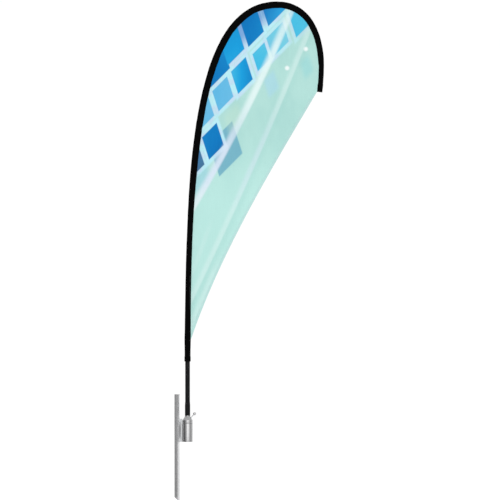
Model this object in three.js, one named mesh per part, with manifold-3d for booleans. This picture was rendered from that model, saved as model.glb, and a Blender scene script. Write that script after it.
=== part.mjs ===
// Teardrop flag on a hammer-in ground spike, real size in millimetres, +Z up.
// The origin is the pole's axis at the underside of the bearing housing.
// +X is the side the flag flies to, and the cloth lies in the XZ plane.
import * as THREE from "three";
import { mergeVertices } from "three/addons/utils/BufferGeometryUtils.js";
import Module from "manifold-3d";

const wasm = await Module();
wasm.setup();

// Clearances
const gap = 0.35;
const thinGap = 0.3;

// Ground spike: hot-rolled equal angle, 20 x 20 x 3
const legLength = 20;
const legThickness = 3;
const legRootRadius = 3;
const spikeTop = 252;
const spikeTip = -319;
const spikeShortEdge = -293;
const ridgeX = -52;
const ridgeY = -10;
const angleTurn = 30.5;

// Web plate between spike and housing
const webHeight = 122;
const webThickness = 4;
const ovalHeight = 90;
const ovalWidth = 9;
const ovalDepth = 1.2;
const ovalCentreX = -41;
const ovalCentreZ = 58;

// Bearing housing and its chamfered cover
const housingRadius = 27;
const housingTop = 98;
const bearingBore = 21.3;
const landRadius = 18.5;
const lowerBoreDepth = 30;
const upperBoreStart = 72;
const edgeBreak = 0.8;
const circlipGrooveRadius = 22.6;
const circlipZ = 15.8;
const circlipThickness = 1.4;
const baseCapThickness = 5;
const coverBottom = 98.4;
const chamferStart = 115;
const coverTop = 134;
const coverTopRadius = 15.2;
const coverBore = 10.6;
const skirtRadius = 20.9;
const skirtBottom = 84.8;
const skirtBore = 15;
const sealPocketRadius = 13.6;
const sealPocketFloor = 130.5;

// Ball bearings, 42 x 20 x 12
const raceOuterRadius = 21;
const raceInnerRadius = 10;
const raceWidth = 12;
const ballCircle = 15.5;
const ballRadius = 3;
const ballCount = 8;
const raceWallThickness = 3.3;
const grooveRadius = ballRadius + thinGap;
const cageThickness = 1.1;
const cageWidth = 8;
const lowerBearingZ = 17.6;
const upperBearingZ = 72.4;

// Spindle that turns in the bearings and carries the pole
const spindleBottom = 9;
const journalRadius = 9.7;
const shoulderRadius = 12.5;
const shoulderBottom = 84.8;
const shoulderTop = 90;
const spigotRadius = 10.3;
const spigotTop = 230;
const shaftGrooveRadius = 8.7;
const seatRingBottom = 134.4;
const seatRingTop = 139;
const seatRingRadius = 14.7;

// Clamping screw: 45 degrees, with a ball knob and a loose pad
const screwX = 20;
const screwZ = 131;
const screwTilt = 45;
const screwRadius = 2.75;
const screwHoleRadius = 3.1;
const padRadius = 2.4;
const padBack = -6;
const screwInnerEnd = -5.6;
const knobCentre = 25;
const knobRadius = 8;

// Pole centreline: straight from the socket, then two Bezier spans
const bendStartZ = 434;
const crownX = 476.8;
const crownZ = 2317.4;
const tipX = 700;
const tipZ = 1851;
const centrelineSamples = 480;

// Pole sections, by distance along the centreline from the ground
const poleBottom = 139.3;
const baseTube = { from: poleBottom, to: 880, outer: 12.5, inner: 10.7 };
const midTube = { from: 800, to: 1500, outer: 10.3, inner: 8.5 };
const upperTube = { from: 1430, to: 2060, outer: 8.1, inner: 5.1 };
const tipRodFrom = 1990;
const tipRodRadius = 4.7;
const ferruleLength = 34;
const collarTop = 211;
const collarOuter = 14;
const poleFerruleWall = 1;
const tipCapRadius = 6.8;
const tipCapClearance = 0.7;
const tipCapLength = 14;
const tipCapFloor = 4;

// Sleeve, cloth and hem
const sleeveBottom = 426;
const sleeveRadius = 15.2;
const sleeveWall = 0.9;
const cuffLength = 24;
const cuffWall = 0.8;
const pocketLength = 5;
const clothGap = 1.1;
const clothThickness = 1;
const hemThickness = 1.8;
const hemWidth = 12;
const edgeStart = [690, 1849];
const edgeBendHigh = [456.6, 1483.9];
const edgeBendLow = [158, 978.7];
const edgeEnd = [19.9, 501.3];
const outlineSteps = 56;

// Facets
const roundSides = 28;
const tubeSides = 14;

const group = new THREE.Group();
group.name = "teardrop_flag";

const finishes = {
  galvanised: { color: 0x9a9da0, roughness: 0.5, metalness: 0.85 },
  webSteel: { color: 0xb4b6b8, roughness: 0.48, metalness: 0.8 },
  brushed: { color: 0xb9bbbd, roughness: 0.34, metalness: 0.9 },
  bearingSteel: { color: 0xc8cacc, roughness: 0.2, metalness: 1 },
  brass: { color: 0xb08d4a, roughness: 0.35, metalness: 0.9 },
  rubber: { color: 0x161616, roughness: 0.85, metalness: 0 },
  alloyPole: { color: 0x2b2c2f, roughness: 0.42, metalness: 0.3 },
  fibrePole: { color: 0x1d1e20, roughness: 0.5, metalness: 0 },
  blackPlastic: { color: 0x0d0d0e, roughness: 0.45, metalness: 0 },
  sleeveCloth: { color: 0x050506, roughness: 0.9, metalness: 0 },
  flagCloth: { color: 0xb7e4dd, roughness: 0.82, metalness: 0 },
  hemCloth: { color: 0xdcebe8, roughness: 0.85, metalness: 0 },
};

function addPart(name, geometry, finish) {
  const mesh = new THREE.Mesh(geometry, new THREE.MeshStandardMaterial(finishes[finish]));
  mesh.name = name;
  group.add(mesh);
}

// Solid bodies for cuts and joins
function toSolid(geometry) {
  const plain = geometry.clone();
  plain.deleteAttribute("normal");
  plain.deleteAttribute("uv");
  const merged = mergeVertices(plain, 1e-4);
  return new wasm.Manifold(new wasm.Mesh({
    numProp: 3,
    vertProperties: new Float32Array(merged.attributes.position.array),
    triVerts: new Uint32Array(merged.index.array),
  }));
}

function fromSolid(solid) {
  const mesh = solid.getMesh();
  const geometry = new THREE.BufferGeometry();
  geometry.setAttribute("position", new THREE.BufferAttribute(mesh.vertProperties, 3));
  geometry.setIndex(new THREE.BufferAttribute(mesh.triVerts, 1));
  geometry.computeVertexNormals();
  return geometry;
}

// Turned part about +Z from a closed list of [radius, height] corners
function turned(corners, sides = roundSides) {
  const profile = corners.map(([radius, height]) => new THREE.Vector2(radius, height));
  const geometry = new THREE.LatheGeometry(profile, sides);
  geometry.rotateX(Math.PI / 2);
  return geometry;
}

function turnedRing(inner, outer, bottom, top, sides = roundSides) {
  return turned([[inner, bottom], [outer, bottom], [outer, top], [inner, top], [inner, bottom]], sides);
}

// The clamping screw's frame: its own +Z runs out along the screw
function placeOnScrew(geometry) {
  geometry.rotateY(THREE.MathUtils.degToRad(screwTilt));
  geometry.translate(screwX, 0, screwZ);
  return geometry;
}

// Pole centreline
function poleCentreline() {
  const path = new THREE.CurvePath();
  const start = new THREE.Vector3(0, 0, 0);
  const bendStart = new THREE.Vector3(0, 0, bendStartZ);
  const crown = new THREE.Vector3(crownX, 0, crownZ);
  const tip = new THREE.Vector3(tipX, 0, tipZ);
  path.add(new THREE.LineCurve3(start, bendStart));
  path.add(new THREE.CubicBezierCurve3(
    bendStart, new THREE.Vector3(0, 0, 1489.5), new THREE.Vector3(49.5, 0, crownZ), crown));
  path.add(new THREE.CubicBezierCurve3(
    crown, new THREE.Vector3(641.9, 0, crownZ), new THREE.Vector3(740.4, 0, 2150.1), tip));
  return path;
}

const centreline = poleCentreline();
const poleLength = centreline.getLength();
const centrelinePoints = centreline.getSpacedPoints(centrelineSamples);

function pointAt(distance) {
  return centreline.getPointAt(distance / poleLength);
}

function stretchOfPole(from, to, count) {
  const points = [];
  for (let i = 0; i <= count; i += 1) {
    points.push(pointAt(from + (to - from) * i / count));
  }
  return new THREE.CatmullRomCurve3(points);
}

// Round tube or rod that follows the pole; an inner radius of 0 makes a rod
function alongPole(from, to, outer, inner, stepLength = 60) {
  const steps = Math.max(2, Math.round((to - from) / stepLength));
  const section = new THREE.Shape();
  section.absarc(0, 0, outer, 0, Math.PI * 2, false);
  if (inner > 0) {
    const bore = new THREE.Path();
    bore.absarc(0, 0, inner, 0, Math.PI * 2, true);
    section.holes.push(bore);
  }
  return new THREE.ExtrudeGeometry(section, {
    steps,
    curveSegments: tubeSides / 2,
    bevelEnabled: false,
    extrudePath: stretchOfPole(from, to, steps * 2),
  });
}

// Flat sheet in the XZ plane from [x, z] corners, centred on the cloth plane
function flatSheet(corners, thickness) {
  const outline = new THREE.Shape(corners.map(([x, z]) => new THREE.Vector2(x, z)));
  const geometry = new THREE.ExtrudeGeometry(outline, { depth: thickness, bevelEnabled: false });
  geometry.rotateX(Math.PI / 2);
  geometry.translate(0, thickness / 2, 0);
  return geometry;
}

// Ground spike: an angle section whose ridge faces -Y, cut slantwise at the bottom
function spikeAngle() {
  const section = new THREE.Shape();
  section.moveTo(0, 0);
  section.lineTo(0, legLength);
  section.lineTo(legThickness, legLength);
  section.lineTo(legThickness, legThickness + legRootRadius);
  section.quadraticCurveTo(legThickness, legThickness, legThickness + legRootRadius, legThickness);
  section.lineTo(legLength, legThickness);
  section.lineTo(legLength, 0);
  const geometry = new THREE.ExtrudeGeometry(section, {
    depth: spikeTop - spikeTip,
    curveSegments: 4,
    bevelEnabled: false,
  });
  geometry.rotateZ(THREE.MathUtils.degToRad(90 - angleTurn));
  geometry.translate(ridgeX, ridgeY, spikeTip);
  geometry.computeBoundingBox();
  const left = geometry.boundingBox.min.x;
  const right = geometry.boundingBox.max.x;
  const position = geometry.attributes.position;
  for (let i = 0; i < position.count; i += 1) {
    if (position.getZ(i) < 0) {
      const across = (right - position.getX(i)) / (right - left);
      position.setZ(i, spikeTip + across * (spikeShortEdge - spikeTip));
    }
  }
  geometry.computeVertexNormals();
  addPart("spike_angle", geometry, "galvanised");
}

// Oval pressed into both faces of the web plate
function ovalPress(side) {
  const outline = new THREE.Shape();
  const straight = (ovalHeight - ovalWidth) / 2;
  const radius = ovalWidth / 2;
  outline.absarc(0, straight, radius, 0, Math.PI, false);
  outline.absarc(0, -straight, radius, Math.PI, Math.PI * 2, false);
  const geometry = new THREE.ExtrudeGeometry(outline, {
    depth: ovalDepth * 2,
    curveSegments: 8,
    bevelEnabled: false,
  });
  geometry.rotateX(Math.PI / 2);
  geometry.translate(ovalCentreX, side * webThickness / 2 + ovalDepth, ovalCentreZ);
  return toSolid(geometry);
}

// Web plate welded between the spike's leg and the housing
function webPlate() {
  const turn = THREE.MathUtils.degToRad(angleTurn);
  const half = webThickness / 2;
  const legFaceX = (y) => ridgeX + (y - ridgeY) * Math.tan(turn) + gap / Math.cos(turn);
  const housingSide = -housingRadius - gap;
  const outline = new THREE.Shape([
    new THREE.Vector2(legFaceX(-half), -half),
    new THREE.Vector2(housingSide, -half),
    new THREE.Vector2(housingSide, half),
    new THREE.Vector2(legFaceX(half), half),
  ]);
  const plate = new THREE.ExtrudeGeometry(outline, { depth: webHeight, bevelEnabled: false });
  const pressed = toSolid(plate).subtract(ovalPress(1)).subtract(ovalPress(-1));
  addPart("web_plate", fromSolid(pressed), "webSteel");
}

// Housing tube: bored from both ends, with a land between the bearings
function housingTube() {
  const grooveTop = circlipZ + circlipThickness + thinGap;
  const grooveBottom = circlipZ - thinGap;
  const geometry = turned([
    [bearingBore, 0],
    [housingRadius - edgeBreak, 0],
    [housingRadius, edgeBreak],
    [housingRadius, housingTop - edgeBreak],
    [housingRadius - edgeBreak, housingTop],
    [bearingBore, housingTop],
    [bearingBore, upperBoreStart],
    [landRadius, upperBoreStart],
    [landRadius, lowerBoreDepth],
    [bearingBore, lowerBoreDepth],
    [bearingBore, grooveTop],
    [circlipGrooveRadius, grooveTop],
    [circlipGrooveRadius, grooveBottom],
    [bearingBore, grooveBottom],
    [bearingBore, 0],
  ], roundSides + 8);
  addPart("housing_tube", geometry, "brushed");
}

// Cap that closes the bottom of the housing
function baseCap() {
  const radius = bearingBore - thinGap;
  const geometry = turned([
    [0, 0],
    [radius, 0],
    [radius, baseCapThickness],
    [0, baseCapThickness],
  ]);
  addPart("base_cap", geometry, "brushed");
}

// Retaining ring in the housing's lower bore
function boreCirclip() {
  const outer = circlipGrooveRadius - thinGap;
  const geometry = turnedRing(landRadius, outer, circlipZ, circlipZ + circlipThickness);
  addPart("bore_circlip", geometry, "bearingSteel");
}

// Chamfered cover with a skirt that holds the upper bearing down
function housingCover() {
  const body = turned([
    [coverBore, skirtBottom + 8],
    [skirtBore, skirtBottom + 8],
    [skirtBore, skirtBottom],
    [skirtRadius, skirtBottom],
    [skirtRadius, coverBottom],
    [housingRadius - edgeBreak, coverBottom],
    [housingRadius, coverBottom + edgeBreak],
    [housingRadius, chamferStart],
    [coverTopRadius, coverTop],
    [sealPocketRadius, coverTop],
    [sealPocketRadius, sealPocketFloor],
    [coverBore, sealPocketFloor],
    [coverBore, skirtBottom + 8],
  ], roundSides + 8);
  const hole = placeOnScrew(turned([[0, -14], [screwHoleRadius, -14], [screwHoleRadius, 12], [0, 12]], 20));
  addPart("housing_cover", fromSolid(toSolid(body).subtract(toSolid(hole))), "brushed");
}

// Rubber ring that keeps dirt out between cover and spindle
function shaftSeal() {
  const inner = spigotRadius + thinGap;
  const outer = sealPocketRadius - thinGap;
  addPart("shaft_seal", turnedRing(inner, outer, sealPocketFloor + thinGap, coverTop), "rubber");
}

// Half circle of groove corners on a race; side is 1 for the inner ring, -1 for the outer
function grooveCorners(wallRadius, middle, side) {
  const corners = [];
  const count = 5;
  const reach = Math.acos(Math.abs(wallRadius - ballCircle) / grooveRadius);
  for (let i = 0; i <= count; i += 1) {
    const turn = -reach + 2 * reach * i / count;
    corners.push([ballCircle - side * grooveRadius * Math.cos(turn), middle + grooveRadius * Math.sin(turn)]);
  }
  return corners;
}

// One ball bearing: inner ring, outer ring, and the balls in their cage
function ballBearing(name, bottom) {
  const top = bottom + raceWidth;
  const middle = bottom + raceWidth / 2;
  const innerWall = raceInnerRadius + raceWallThickness;
  const outerWall = raceOuterRadius - raceWallThickness;
  const innerRing = turned([
    [raceInnerRadius, bottom],
    [innerWall, bottom],
    ...grooveCorners(innerWall, middle, 1),
    [innerWall, top],
    [raceInnerRadius, top],
    [raceInnerRadius, bottom],
  ]);
  addPart(`${name}_inner_ring`, innerRing, "bearingSteel");
  const outerRing = turned([
    [raceOuterRadius, top],
    [outerWall, top],
    ...grooveCorners(outerWall, middle, -1).reverse(),
    [outerWall, bottom],
    [raceOuterRadius, bottom],
    [raceOuterRadius, top],
  ]);
  addPart(`${name}_outer_ring`, outerRing, "bearingSteel");
  const half = cageThickness / 2;
  let cage = toSolid(turnedRing(
    ballCircle - half, ballCircle + half, middle - cageWidth / 2, middle + cageWidth / 2, 24));
  for (let i = 0; i < ballCount; i += 1) {
    const ball = new THREE.SphereGeometry(ballRadius, 8, 6);
    const turn = 2 * Math.PI * i / ballCount;
    ball.translate(ballCircle * Math.cos(turn), ballCircle * Math.sin(turn), middle);
    cage = cage.add(toSolid(ball));
  }
  addPart(`${name}_balls`, fromSolid(cage), "bearingSteel");
}

// Turning spindle with the spigot that goes up inside the pole
function spindle() {
  const grooveTop = circlipZ + circlipThickness;
  const grooveBottom = circlipZ - thinGap;
  const geometry = turned([
    [0, spindleBottom],
    [journalRadius - 1, spindleBottom],
    [journalRadius, spindleBottom + 1],
    [journalRadius, grooveBottom],
    [shaftGrooveRadius, grooveBottom],
    [shaftGrooveRadius, grooveTop],
    [journalRadius, grooveTop],
    [journalRadius, shoulderBottom],
    [shoulderRadius, shoulderBottom],
    [shoulderRadius, shoulderTop],
    [spigotRadius, shoulderTop],
    [spigotRadius, spigotTop - 6],
    [spigotRadius - 4, spigotTop],
    [0, spigotTop],
  ]);
  addPart("spindle", geometry, "bearingSteel");
}

// Retaining ring under the lower bearing, on the spindle
function shaftCirclip() {
  const inner = shaftGrooveRadius + thinGap;
  addPart("shaft_circlip", turnedRing(inner, 12.4, circlipZ, circlipZ + 1.1), "bearingSteel");
}

// Ring on the spindle that the pole stands on
function seatRing() {
  const inner = spigotRadius + thinGap;
  addPart("seat_ring", turnedRing(inner, seatRingRadius, seatRingBottom, seatRingTop), "brushed");
}

// Clamping screw: loose pad, threaded rod and ball knob
function clampingScrew() {
  const padCentre = (journalRadius + 0.6 + thinGap + padRadius - screwX) / Math.cos(Math.PI / 4);
  const padCorners = [];
  for (let i = 0; i <= 5; i += 1) {
    const turn = Math.PI / 2 * i / 5;
    padCorners.push([padRadius * Math.sin(turn), padCentre - padRadius * Math.cos(turn)]);
  }
  padCorners[0][0] = 0;
  const pad = placeOnScrew(turned([...padCorners, [padRadius, padBack], [0, padBack]], 16));
  addPart("clamp_pad", pad, "brass");
  const rodTop = knobCentre - knobRadius - thinGap;
  const rod = turned([
    [0, screwInnerEnd],
    [screwRadius - 0.5, screwInnerEnd],
    [screwRadius, screwInnerEnd + 0.5],
    [screwRadius, rodTop],
    [0, rodTop],
  ], 20);
  addPart("clamp_screw", placeOnScrew(rod), "bearingSteel");
  const knob = new THREE.SphereGeometry(knobRadius, 20, 12);
  knob.translate(0, 0, knobCentre);
  addPart("ball_knob", placeOnScrew(knob), "brushed");
}

// Pole: base tube, two thinner tubes and a whippy tip rod, each pushed into the last
function poleSections() {
  addPart("pole_base_tube", alongPole(baseTube.from, baseTube.to, baseTube.outer, baseTube.inner), "alloyPole");
  addPart("pole_mid_tube", alongPole(midTube.from, midTube.to, midTube.outer, midTube.inner), "fibrePole");
  addPart("pole_upper_tube", alongPole(upperTube.from, upperTube.to, upperTube.outer, upperTube.inner, 34), "fibrePole");
  const tipRodTo = poleLength - pocketLength - tipCapFloor - 4;
  addPart("pole_tip_rod", alongPole(tipRodFrom, tipRodTo, tipRodRadius, 0, 34), "fibrePole");
}

// Rings that stop the tubes' open ends from splitting
function poleRings() {
  const collar = turnedRing(baseTube.outer + thinGap, collarOuter, poleBottom, collarTop, roundSides);
  addPart("pole_collar", collar, "blackPlastic");
  for (const [name, tube] of [["base_ferrule", baseTube], ["mid_ferrule", midTube], ["upper_ferrule", upperTube]]) {
    const inner = tube.outer + thinGap;
    const ring = alongPole(tube.to - ferruleLength, tube.to, inner + poleFerruleWall, inner, 17);
    addPart(name, ring, "blackPlastic");
  }
}

// Rounded cap on the tip rod's end
function tipCap() {
  const inner = tipRodRadius + tipCapClearance;
  const capEnd = poleLength - pocketLength - 1;
  const geometry = turned([
    [inner, -tipCapLength],
    [tipCapRadius, -tipCapLength],
    [tipCapRadius, -2],
    [tipCapRadius - 2, 0],
    [0, 0],
    [0, -tipCapFloor],
    [inner, -tipCapFloor],
    [inner, -tipCapLength],
  ], tubeSides);
  const heading = centreline.getTangentAt(1);
  const turn = new THREE.Quaternion().setFromUnitVectors(new THREE.Vector3(0, 0, 1), heading);
  geometry.applyQuaternion(turn);
  const end = pointAt(capEnd);
  geometry.translate(end.x, end.y, end.z);
  addPart("tip_cap", geometry, "blackPlastic");
}

// Black sleeve that the pole slides into, its cuff and its closed end
function sleeve() {
  const sleeveEnd = poleLength - pocketLength;
  const inner = sleeveRadius - sleeveWall;
  addPart("flag_sleeve", alongPole(sleeveBottom, sleeveEnd, sleeveRadius, inner, 38), "sleeveCloth");
  const cuffInner = sleeveRadius + thinGap;
  const cuff = turnedRing(cuffInner, cuffInner + cuffWall, sleeveBottom, sleeveBottom + cuffLength, tubeSides);
  addPart("sleeve_cuff", cuff, "sleeveCloth");
  const pocket = alongPole(sleeveEnd + thinGap, poleLength, sleeveRadius, 0, 3);
  addPart("sleeve_end_pocket", pocket, "sleeveCloth");
}

// Free edge of the cloth, from the sleeve's closed end down to its lower end
function freeEdge() {
  const corner = ([x, z]) => new THREE.Vector2(x, z);
  return new THREE.CubicBezierCurve(
    corner(edgeStart), corner(edgeBendHigh), corner(edgeBendLow), corner(edgeEnd));
}

// True where an [x, z] point keeps off the sleeve
function clearOfSleeve([x, z]) {
  const keepOff = sleeveRadius + clothGap;
  return centrelinePoints.every((point) => Math.hypot(point.x - x, point.z - z) > keepOff);
}

// Points along the free edge, moved inwards by some distance
function insetEdge(distance) {
  const edge = freeEdge();
  const points = [];
  for (let i = 0; i <= outlineSteps; i += 1) {
    const point = edge.getPoint(i / outlineSteps);
    const heading = edge.getTangent(i / outlineSteps);
    points.push([point.x + heading.y * distance, point.y - heading.x * distance]);
  }
  return points.filter(clearOfSleeve);
}

// Inner side of the sleeve, where the cloth is sewn on
function sewnSide(fromHeight) {
  const keepOff = sleeveRadius + clothGap;
  const points = [];
  for (let i = 0; i <= outlineSteps; i += 1) {
    const distance = fromHeight + (poleLength - pocketLength - hemWidth - fromHeight) * i / outlineSteps;
    const at = pointAt(distance);
    const heading = centreline.getTangentAt(distance / poleLength);
    points.push([at.x + heading.z * keepOff, at.z - heading.x * keepOff]);
  }
  return points;
}

// Printed cloth and the hem along its free edge
function cloth() {
  const innerEdge = insetEdge(hemWidth);
  const hem = [...insetEdge(0), ...innerEdge.slice().reverse()];
  addPart("edge_hem", flatSheet(hem, hemThickness), "hemCloth");
  const clothEdge = insetEdge(hemWidth + gap);
  const lowest = clothEdge[clothEdge.length - 1];
  const panel = [...clothEdge, ...sewnSide(lowest[1] + hemWidth)];
  addPart("flag_panel", flatSheet(panel, clothThickness), "flagCloth");
}

spikeAngle();
webPlate();
housingTube();
baseCap();
boreCirclip();
housingCover();
shaftSeal();
ballBearing("lower_bearing", lowerBearingZ);
ballBearing("upper_bearing", upperBearingZ);
spindle();
shaftCirclip();
seatRing();
clampingScrew();
poleSections();
poleRings();
tipCap();
sleeve();
cloth();

export default group;
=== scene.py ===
import math
from functools import partial

import bmesh
import bpy
from mathutils import Matrix, Vector, noise


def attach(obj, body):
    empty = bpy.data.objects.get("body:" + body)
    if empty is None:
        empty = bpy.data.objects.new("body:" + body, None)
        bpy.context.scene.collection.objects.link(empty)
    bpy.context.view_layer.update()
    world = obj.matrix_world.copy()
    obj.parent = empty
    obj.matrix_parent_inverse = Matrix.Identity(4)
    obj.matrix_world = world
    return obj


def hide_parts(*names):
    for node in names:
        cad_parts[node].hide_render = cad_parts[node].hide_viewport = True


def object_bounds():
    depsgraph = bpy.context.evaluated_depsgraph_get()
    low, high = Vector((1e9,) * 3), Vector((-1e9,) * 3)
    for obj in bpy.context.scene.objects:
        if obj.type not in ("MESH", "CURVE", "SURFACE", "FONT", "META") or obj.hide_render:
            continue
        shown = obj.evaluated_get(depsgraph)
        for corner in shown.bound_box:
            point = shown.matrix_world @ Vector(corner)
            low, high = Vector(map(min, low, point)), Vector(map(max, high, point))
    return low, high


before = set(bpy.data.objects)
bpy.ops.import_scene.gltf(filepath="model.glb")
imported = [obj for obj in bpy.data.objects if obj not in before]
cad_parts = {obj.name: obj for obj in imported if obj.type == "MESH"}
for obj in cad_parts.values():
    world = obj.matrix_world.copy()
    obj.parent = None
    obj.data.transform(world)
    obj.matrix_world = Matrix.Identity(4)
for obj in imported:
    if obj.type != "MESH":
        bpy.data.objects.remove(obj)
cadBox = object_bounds()
scene = bpy.context.scene
across = Vector((0, 1, 0))  # straight through the cloth


# camera, light and floor
studio = {
    "lookX": 0.331, "lookZ": 1.0165,  # middle of the view
    "viewWidth": 2.65, "lens": 300.0, "clipEnd": 200,
    "worldLevel": 0.80, "backdropLevel": 1.02,  # the light it gives, and how white it looks
    "floorReach": 8.0, "floorGlow": 0.62, "floorColour": 0.60, "floorGap": 0.0004,
    "floorUnseen": 0.35,  # share of the floor's glow that lights the flag
    "lampAim": (0.2, 0, 1.1),
    "keySize": 2.2, "keyPower": 31.0, "keyAt": (1.5, -3.8, 2.3),
    "fillSize": 2.4, "fillPower": 17.0, "fillAt": (0.5, -3.7, 0.4),
    # turn from the front in degrees, left is negative, and brightness
    "cards": [("darkCard", -114, -62, 0.12), ("duskCard", -62, -36, 0.34), ("greyCard", 62, 102, 0.46),
              ("brightCard", 106, 152, 1.02)],
    "cardReach": 2.2, "cardTop": 1.7, "cardLow": 0.001,
    "floorCard": (-90, -34, 0.16, 0.13),  # the same with how near it starts, laid on the floor
    "floorCardLow": 0.002,
}


def aimAt(obj, target):
    heading = Vector(target) - obj.location
    obj.rotation_euler = heading.to_track_quat("-Z", "Y").to_euler()


def compass(turn):
    # level heading at a turn from the front, in degrees
    return Vector((math.sin(math.radians(turn)), -math.cos(math.radians(turn)), 0))


def levelByRay(tree, unseen, seen, socket):
    # one brightness for the light it gives, another where the camera looks at it
    rays = tree.nodes.new("ShaderNodeLightPath")
    level = tree.nodes.new("ShaderNodeMapRange")
    level.inputs["To Min"].default_value = unseen
    level.inputs["To Max"].default_value = seen
    tree.links.new(rays.outputs["Is Camera Ray"], level.inputs["Value"])
    tree.links.new(level.outputs["Result"], socket)


def buildCamera():
    data = bpy.data.cameras.new("productCamera")
    data.lens = studio["lens"]
    data.clip_end = studio["clipEnd"]
    camera = bpy.data.objects.new("productCamera", data)
    distance = studio["viewWidth"] * data.lens / data.sensor_width
    camera.location = (studio["lookX"], -distance, studio["lookZ"])
    camera.rotation_euler = (math.pi / 2, 0, 0)
    scene.collection.objects.link(camera)
    scene.camera = camera


def buildWorld():
    world = bpy.data.worlds.new("softStudio")
    world.use_nodes = True
    background = world.node_tree.nodes["Background"]
    background.inputs["Color"].default_value = (1, 1, 1, 1)
    levelByRay(world.node_tree, studio["worldLevel"], studio["backdropLevel"], background.inputs["Strength"])
    scene.world = world
    scene.view_settings.view_transform = "Standard"


def buildLight(name, location, power, size):
    data = bpy.data.lights.new(name, "AREA")
    data.energy = power
    data.size = size
    lamp = bpy.data.objects.new(name, data)
    lamp.location = location
    aimAt(lamp, studio["lampAim"])
    scene.collection.objects.link(lamp)


def stagePanel(name, corners, glow, colour, seen):
    # a card whose brightness is its glow plus what its colour sends back
    mesh = bpy.data.meshes.new(name)
    mesh.from_pydata(corners, [], [tuple(range(len(corners)))])
    panel = bpy.data.objects.new(name, mesh)
    material = bpy.data.materials.new(name)
    material.use_nodes = True
    shader = material.node_tree.nodes["Principled BSDF"]
    shader.inputs["Base Color"].default_value = (colour, colour, colour, 1)
    shader.inputs["Roughness"].default_value = 1.0
    shader.inputs["Specular IOR Level"].default_value = 0.0
    shader.inputs["Emission Color"].default_value = (1, 1, 1, 1)
    shader.inputs["Emission Strength"].default_value = glow
    if seen:
        levelByRay(material.node_tree, glow * studio["floorUnseen"], glow, shader.inputs["Emission Strength"])
    mesh.materials.append(material)
    panel.visible_camera = seen
    panel.visible_diffuse = panel.visible_shadow = seen  # the cards show only in reflections
    scene.collection.objects.link(panel)


def buildStage():
    low = cadBox[0].z - studio["floorGap"]
    reach, cardReach = studio["floorReach"], studio["cardReach"]
    stagePanel("paleFloor", [(x * reach, y * reach, low) for x, y in ((-1, -1), (1, -1), (1, 1), (-1, 1))],
               studio["floorGlow"], studio["floorColour"], True)
    # cards out of view give the round steel its dark and grey stripes
    base, top = Vector((0, 0, low + studio["cardLow"])), Vector((0, 0, studio["cardTop"]))
    for name, start, end, glow in studio["cards"]:
        left, right = compass(start) * cardReach, compass(end) * cardReach
        stagePanel(name, [left + base, right + base, right + top, left + top], glow, 0.0, False)
    start, end, near, glow = studio["floorCard"]
    lay = Vector((0, 0, low + studio["floorCardLow"]))
    stagePanel("floorCard", [lay + compass(turn) * far for turn, far in (
        (start, near), (end, near), (end, cardReach), (start, cardReach))], glow, 0.0, False)


buildCamera()
buildWorld()
buildLight("keySoftbox", studio["keyAt"], studio["keyPower"], studio["keySize"])
buildLight("frontFill", studio["fillAt"], studio["fillPower"], studio["fillSize"])
buildStage()
print("stage ready")


# shader node helpers
def nodeIn(tree, kind, x=0, y=0, **settings):
    node = tree.nodes.new(kind)
    node.location = (x, y)
    for key, value in settings.items():
        setattr(node, key, value)
    return node


def mathNode(tree, operation, a, b=None, c=None, clamp=False):
    node = nodeIn(tree, "ShaderNodeMath", operation=operation, use_clamp=clamp)
    for socket, value in zip(node.inputs, (a, b, c)):
        if value is None:
            continue
        if isinstance(value, (int, float)):
            socket.default_value = value
        else:
            tree.links.new(value, socket)
    return node.outputs[0]


def easeNode(tree, value, low, high, start=0.0, end=1.0):
    node = nodeIn(tree, "ShaderNodeMapRange", interpolation_type="SMOOTHSTEP")
    tree.links.new(value, node.inputs["Value"])
    for label, number in (("From Min", low), ("From Max", high), ("To Min", start), ("To Max", end)):
        node.inputs[label].default_value = number
    return node.outputs["Result"]


def mixColour(tree, factor, first, second, blend="MIX"):
    node = nodeIn(tree, "ShaderNodeMix", data_type="RGBA", blend_type=blend)
    for socket, value in ((node.inputs[0], factor), (node.inputs[6], first), (node.inputs[7], second)):
        if isinstance(value, (int, float, tuple)):
            socket.default_value = value
        else:
            tree.links.new(value, socket)
    return node.outputs[2]


def nodeTools(tree):
    # the helpers that a tree uses most, tied to it
    return partial(mathNode, tree), partial(easeNode, tree), partial(mixColour, tree)


def splitNode(tree, vector):
    node = nodeIn(tree, "ShaderNodeSeparateXYZ")
    tree.links.new(vector, node.inputs[0])
    return node.outputs


def rampNode(tree, value, stops):
    node = nodeIn(tree, "ShaderNodeValToRGB")
    ramp = node.color_ramp
    while len(ramp.elements) < len(stops):
        ramp.elements.new(0.5)
    for element, (place, colour) in zip(ramp.elements, stops):
        element.position = place
        element.color = colour if isinstance(colour, tuple) else (colour, colour, colour, 1)
    tree.links.new(value, node.inputs[0])
    return node.outputs["Color"]


def noiseNode(tree, vector, scale, detail=2.0, rough=0.5):
    node = nodeIn(tree, "ShaderNodeTexNoise")
    tree.links.new(vector, node.inputs["Vector"])
    node.inputs["Scale"].default_value = scale
    node.inputs["Detail"].default_value = detail
    node.inputs["Roughness"].default_value = rough
    return node.outputs[0]


def stretchVector(tree, vector, scale):
    node = nodeIn(tree, "ShaderNodeVectorMath", operation="MULTIPLY")
    tree.links.new(vector, node.inputs[0])
    node.inputs[1].default_value = scale
    return node.outputs[0]


def sRgb(red, green, blue):
    def linear(value):
        value /= 255
        return value / 12.92 if value <= 0.04045 else ((value + 0.055) / 1.055) ** 2.4
    return (linear(red), linear(green), linear(blue), 1)


socketKinds = {
    "vector": "NodeSocketVector", "value": "NodeSocketFloat", "colour": "NodeSocketColor",
    "count": "NodeSocketInt", "material": "NodeSocketMaterial", "geometry": "NodeSocketGeometry",
}


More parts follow.
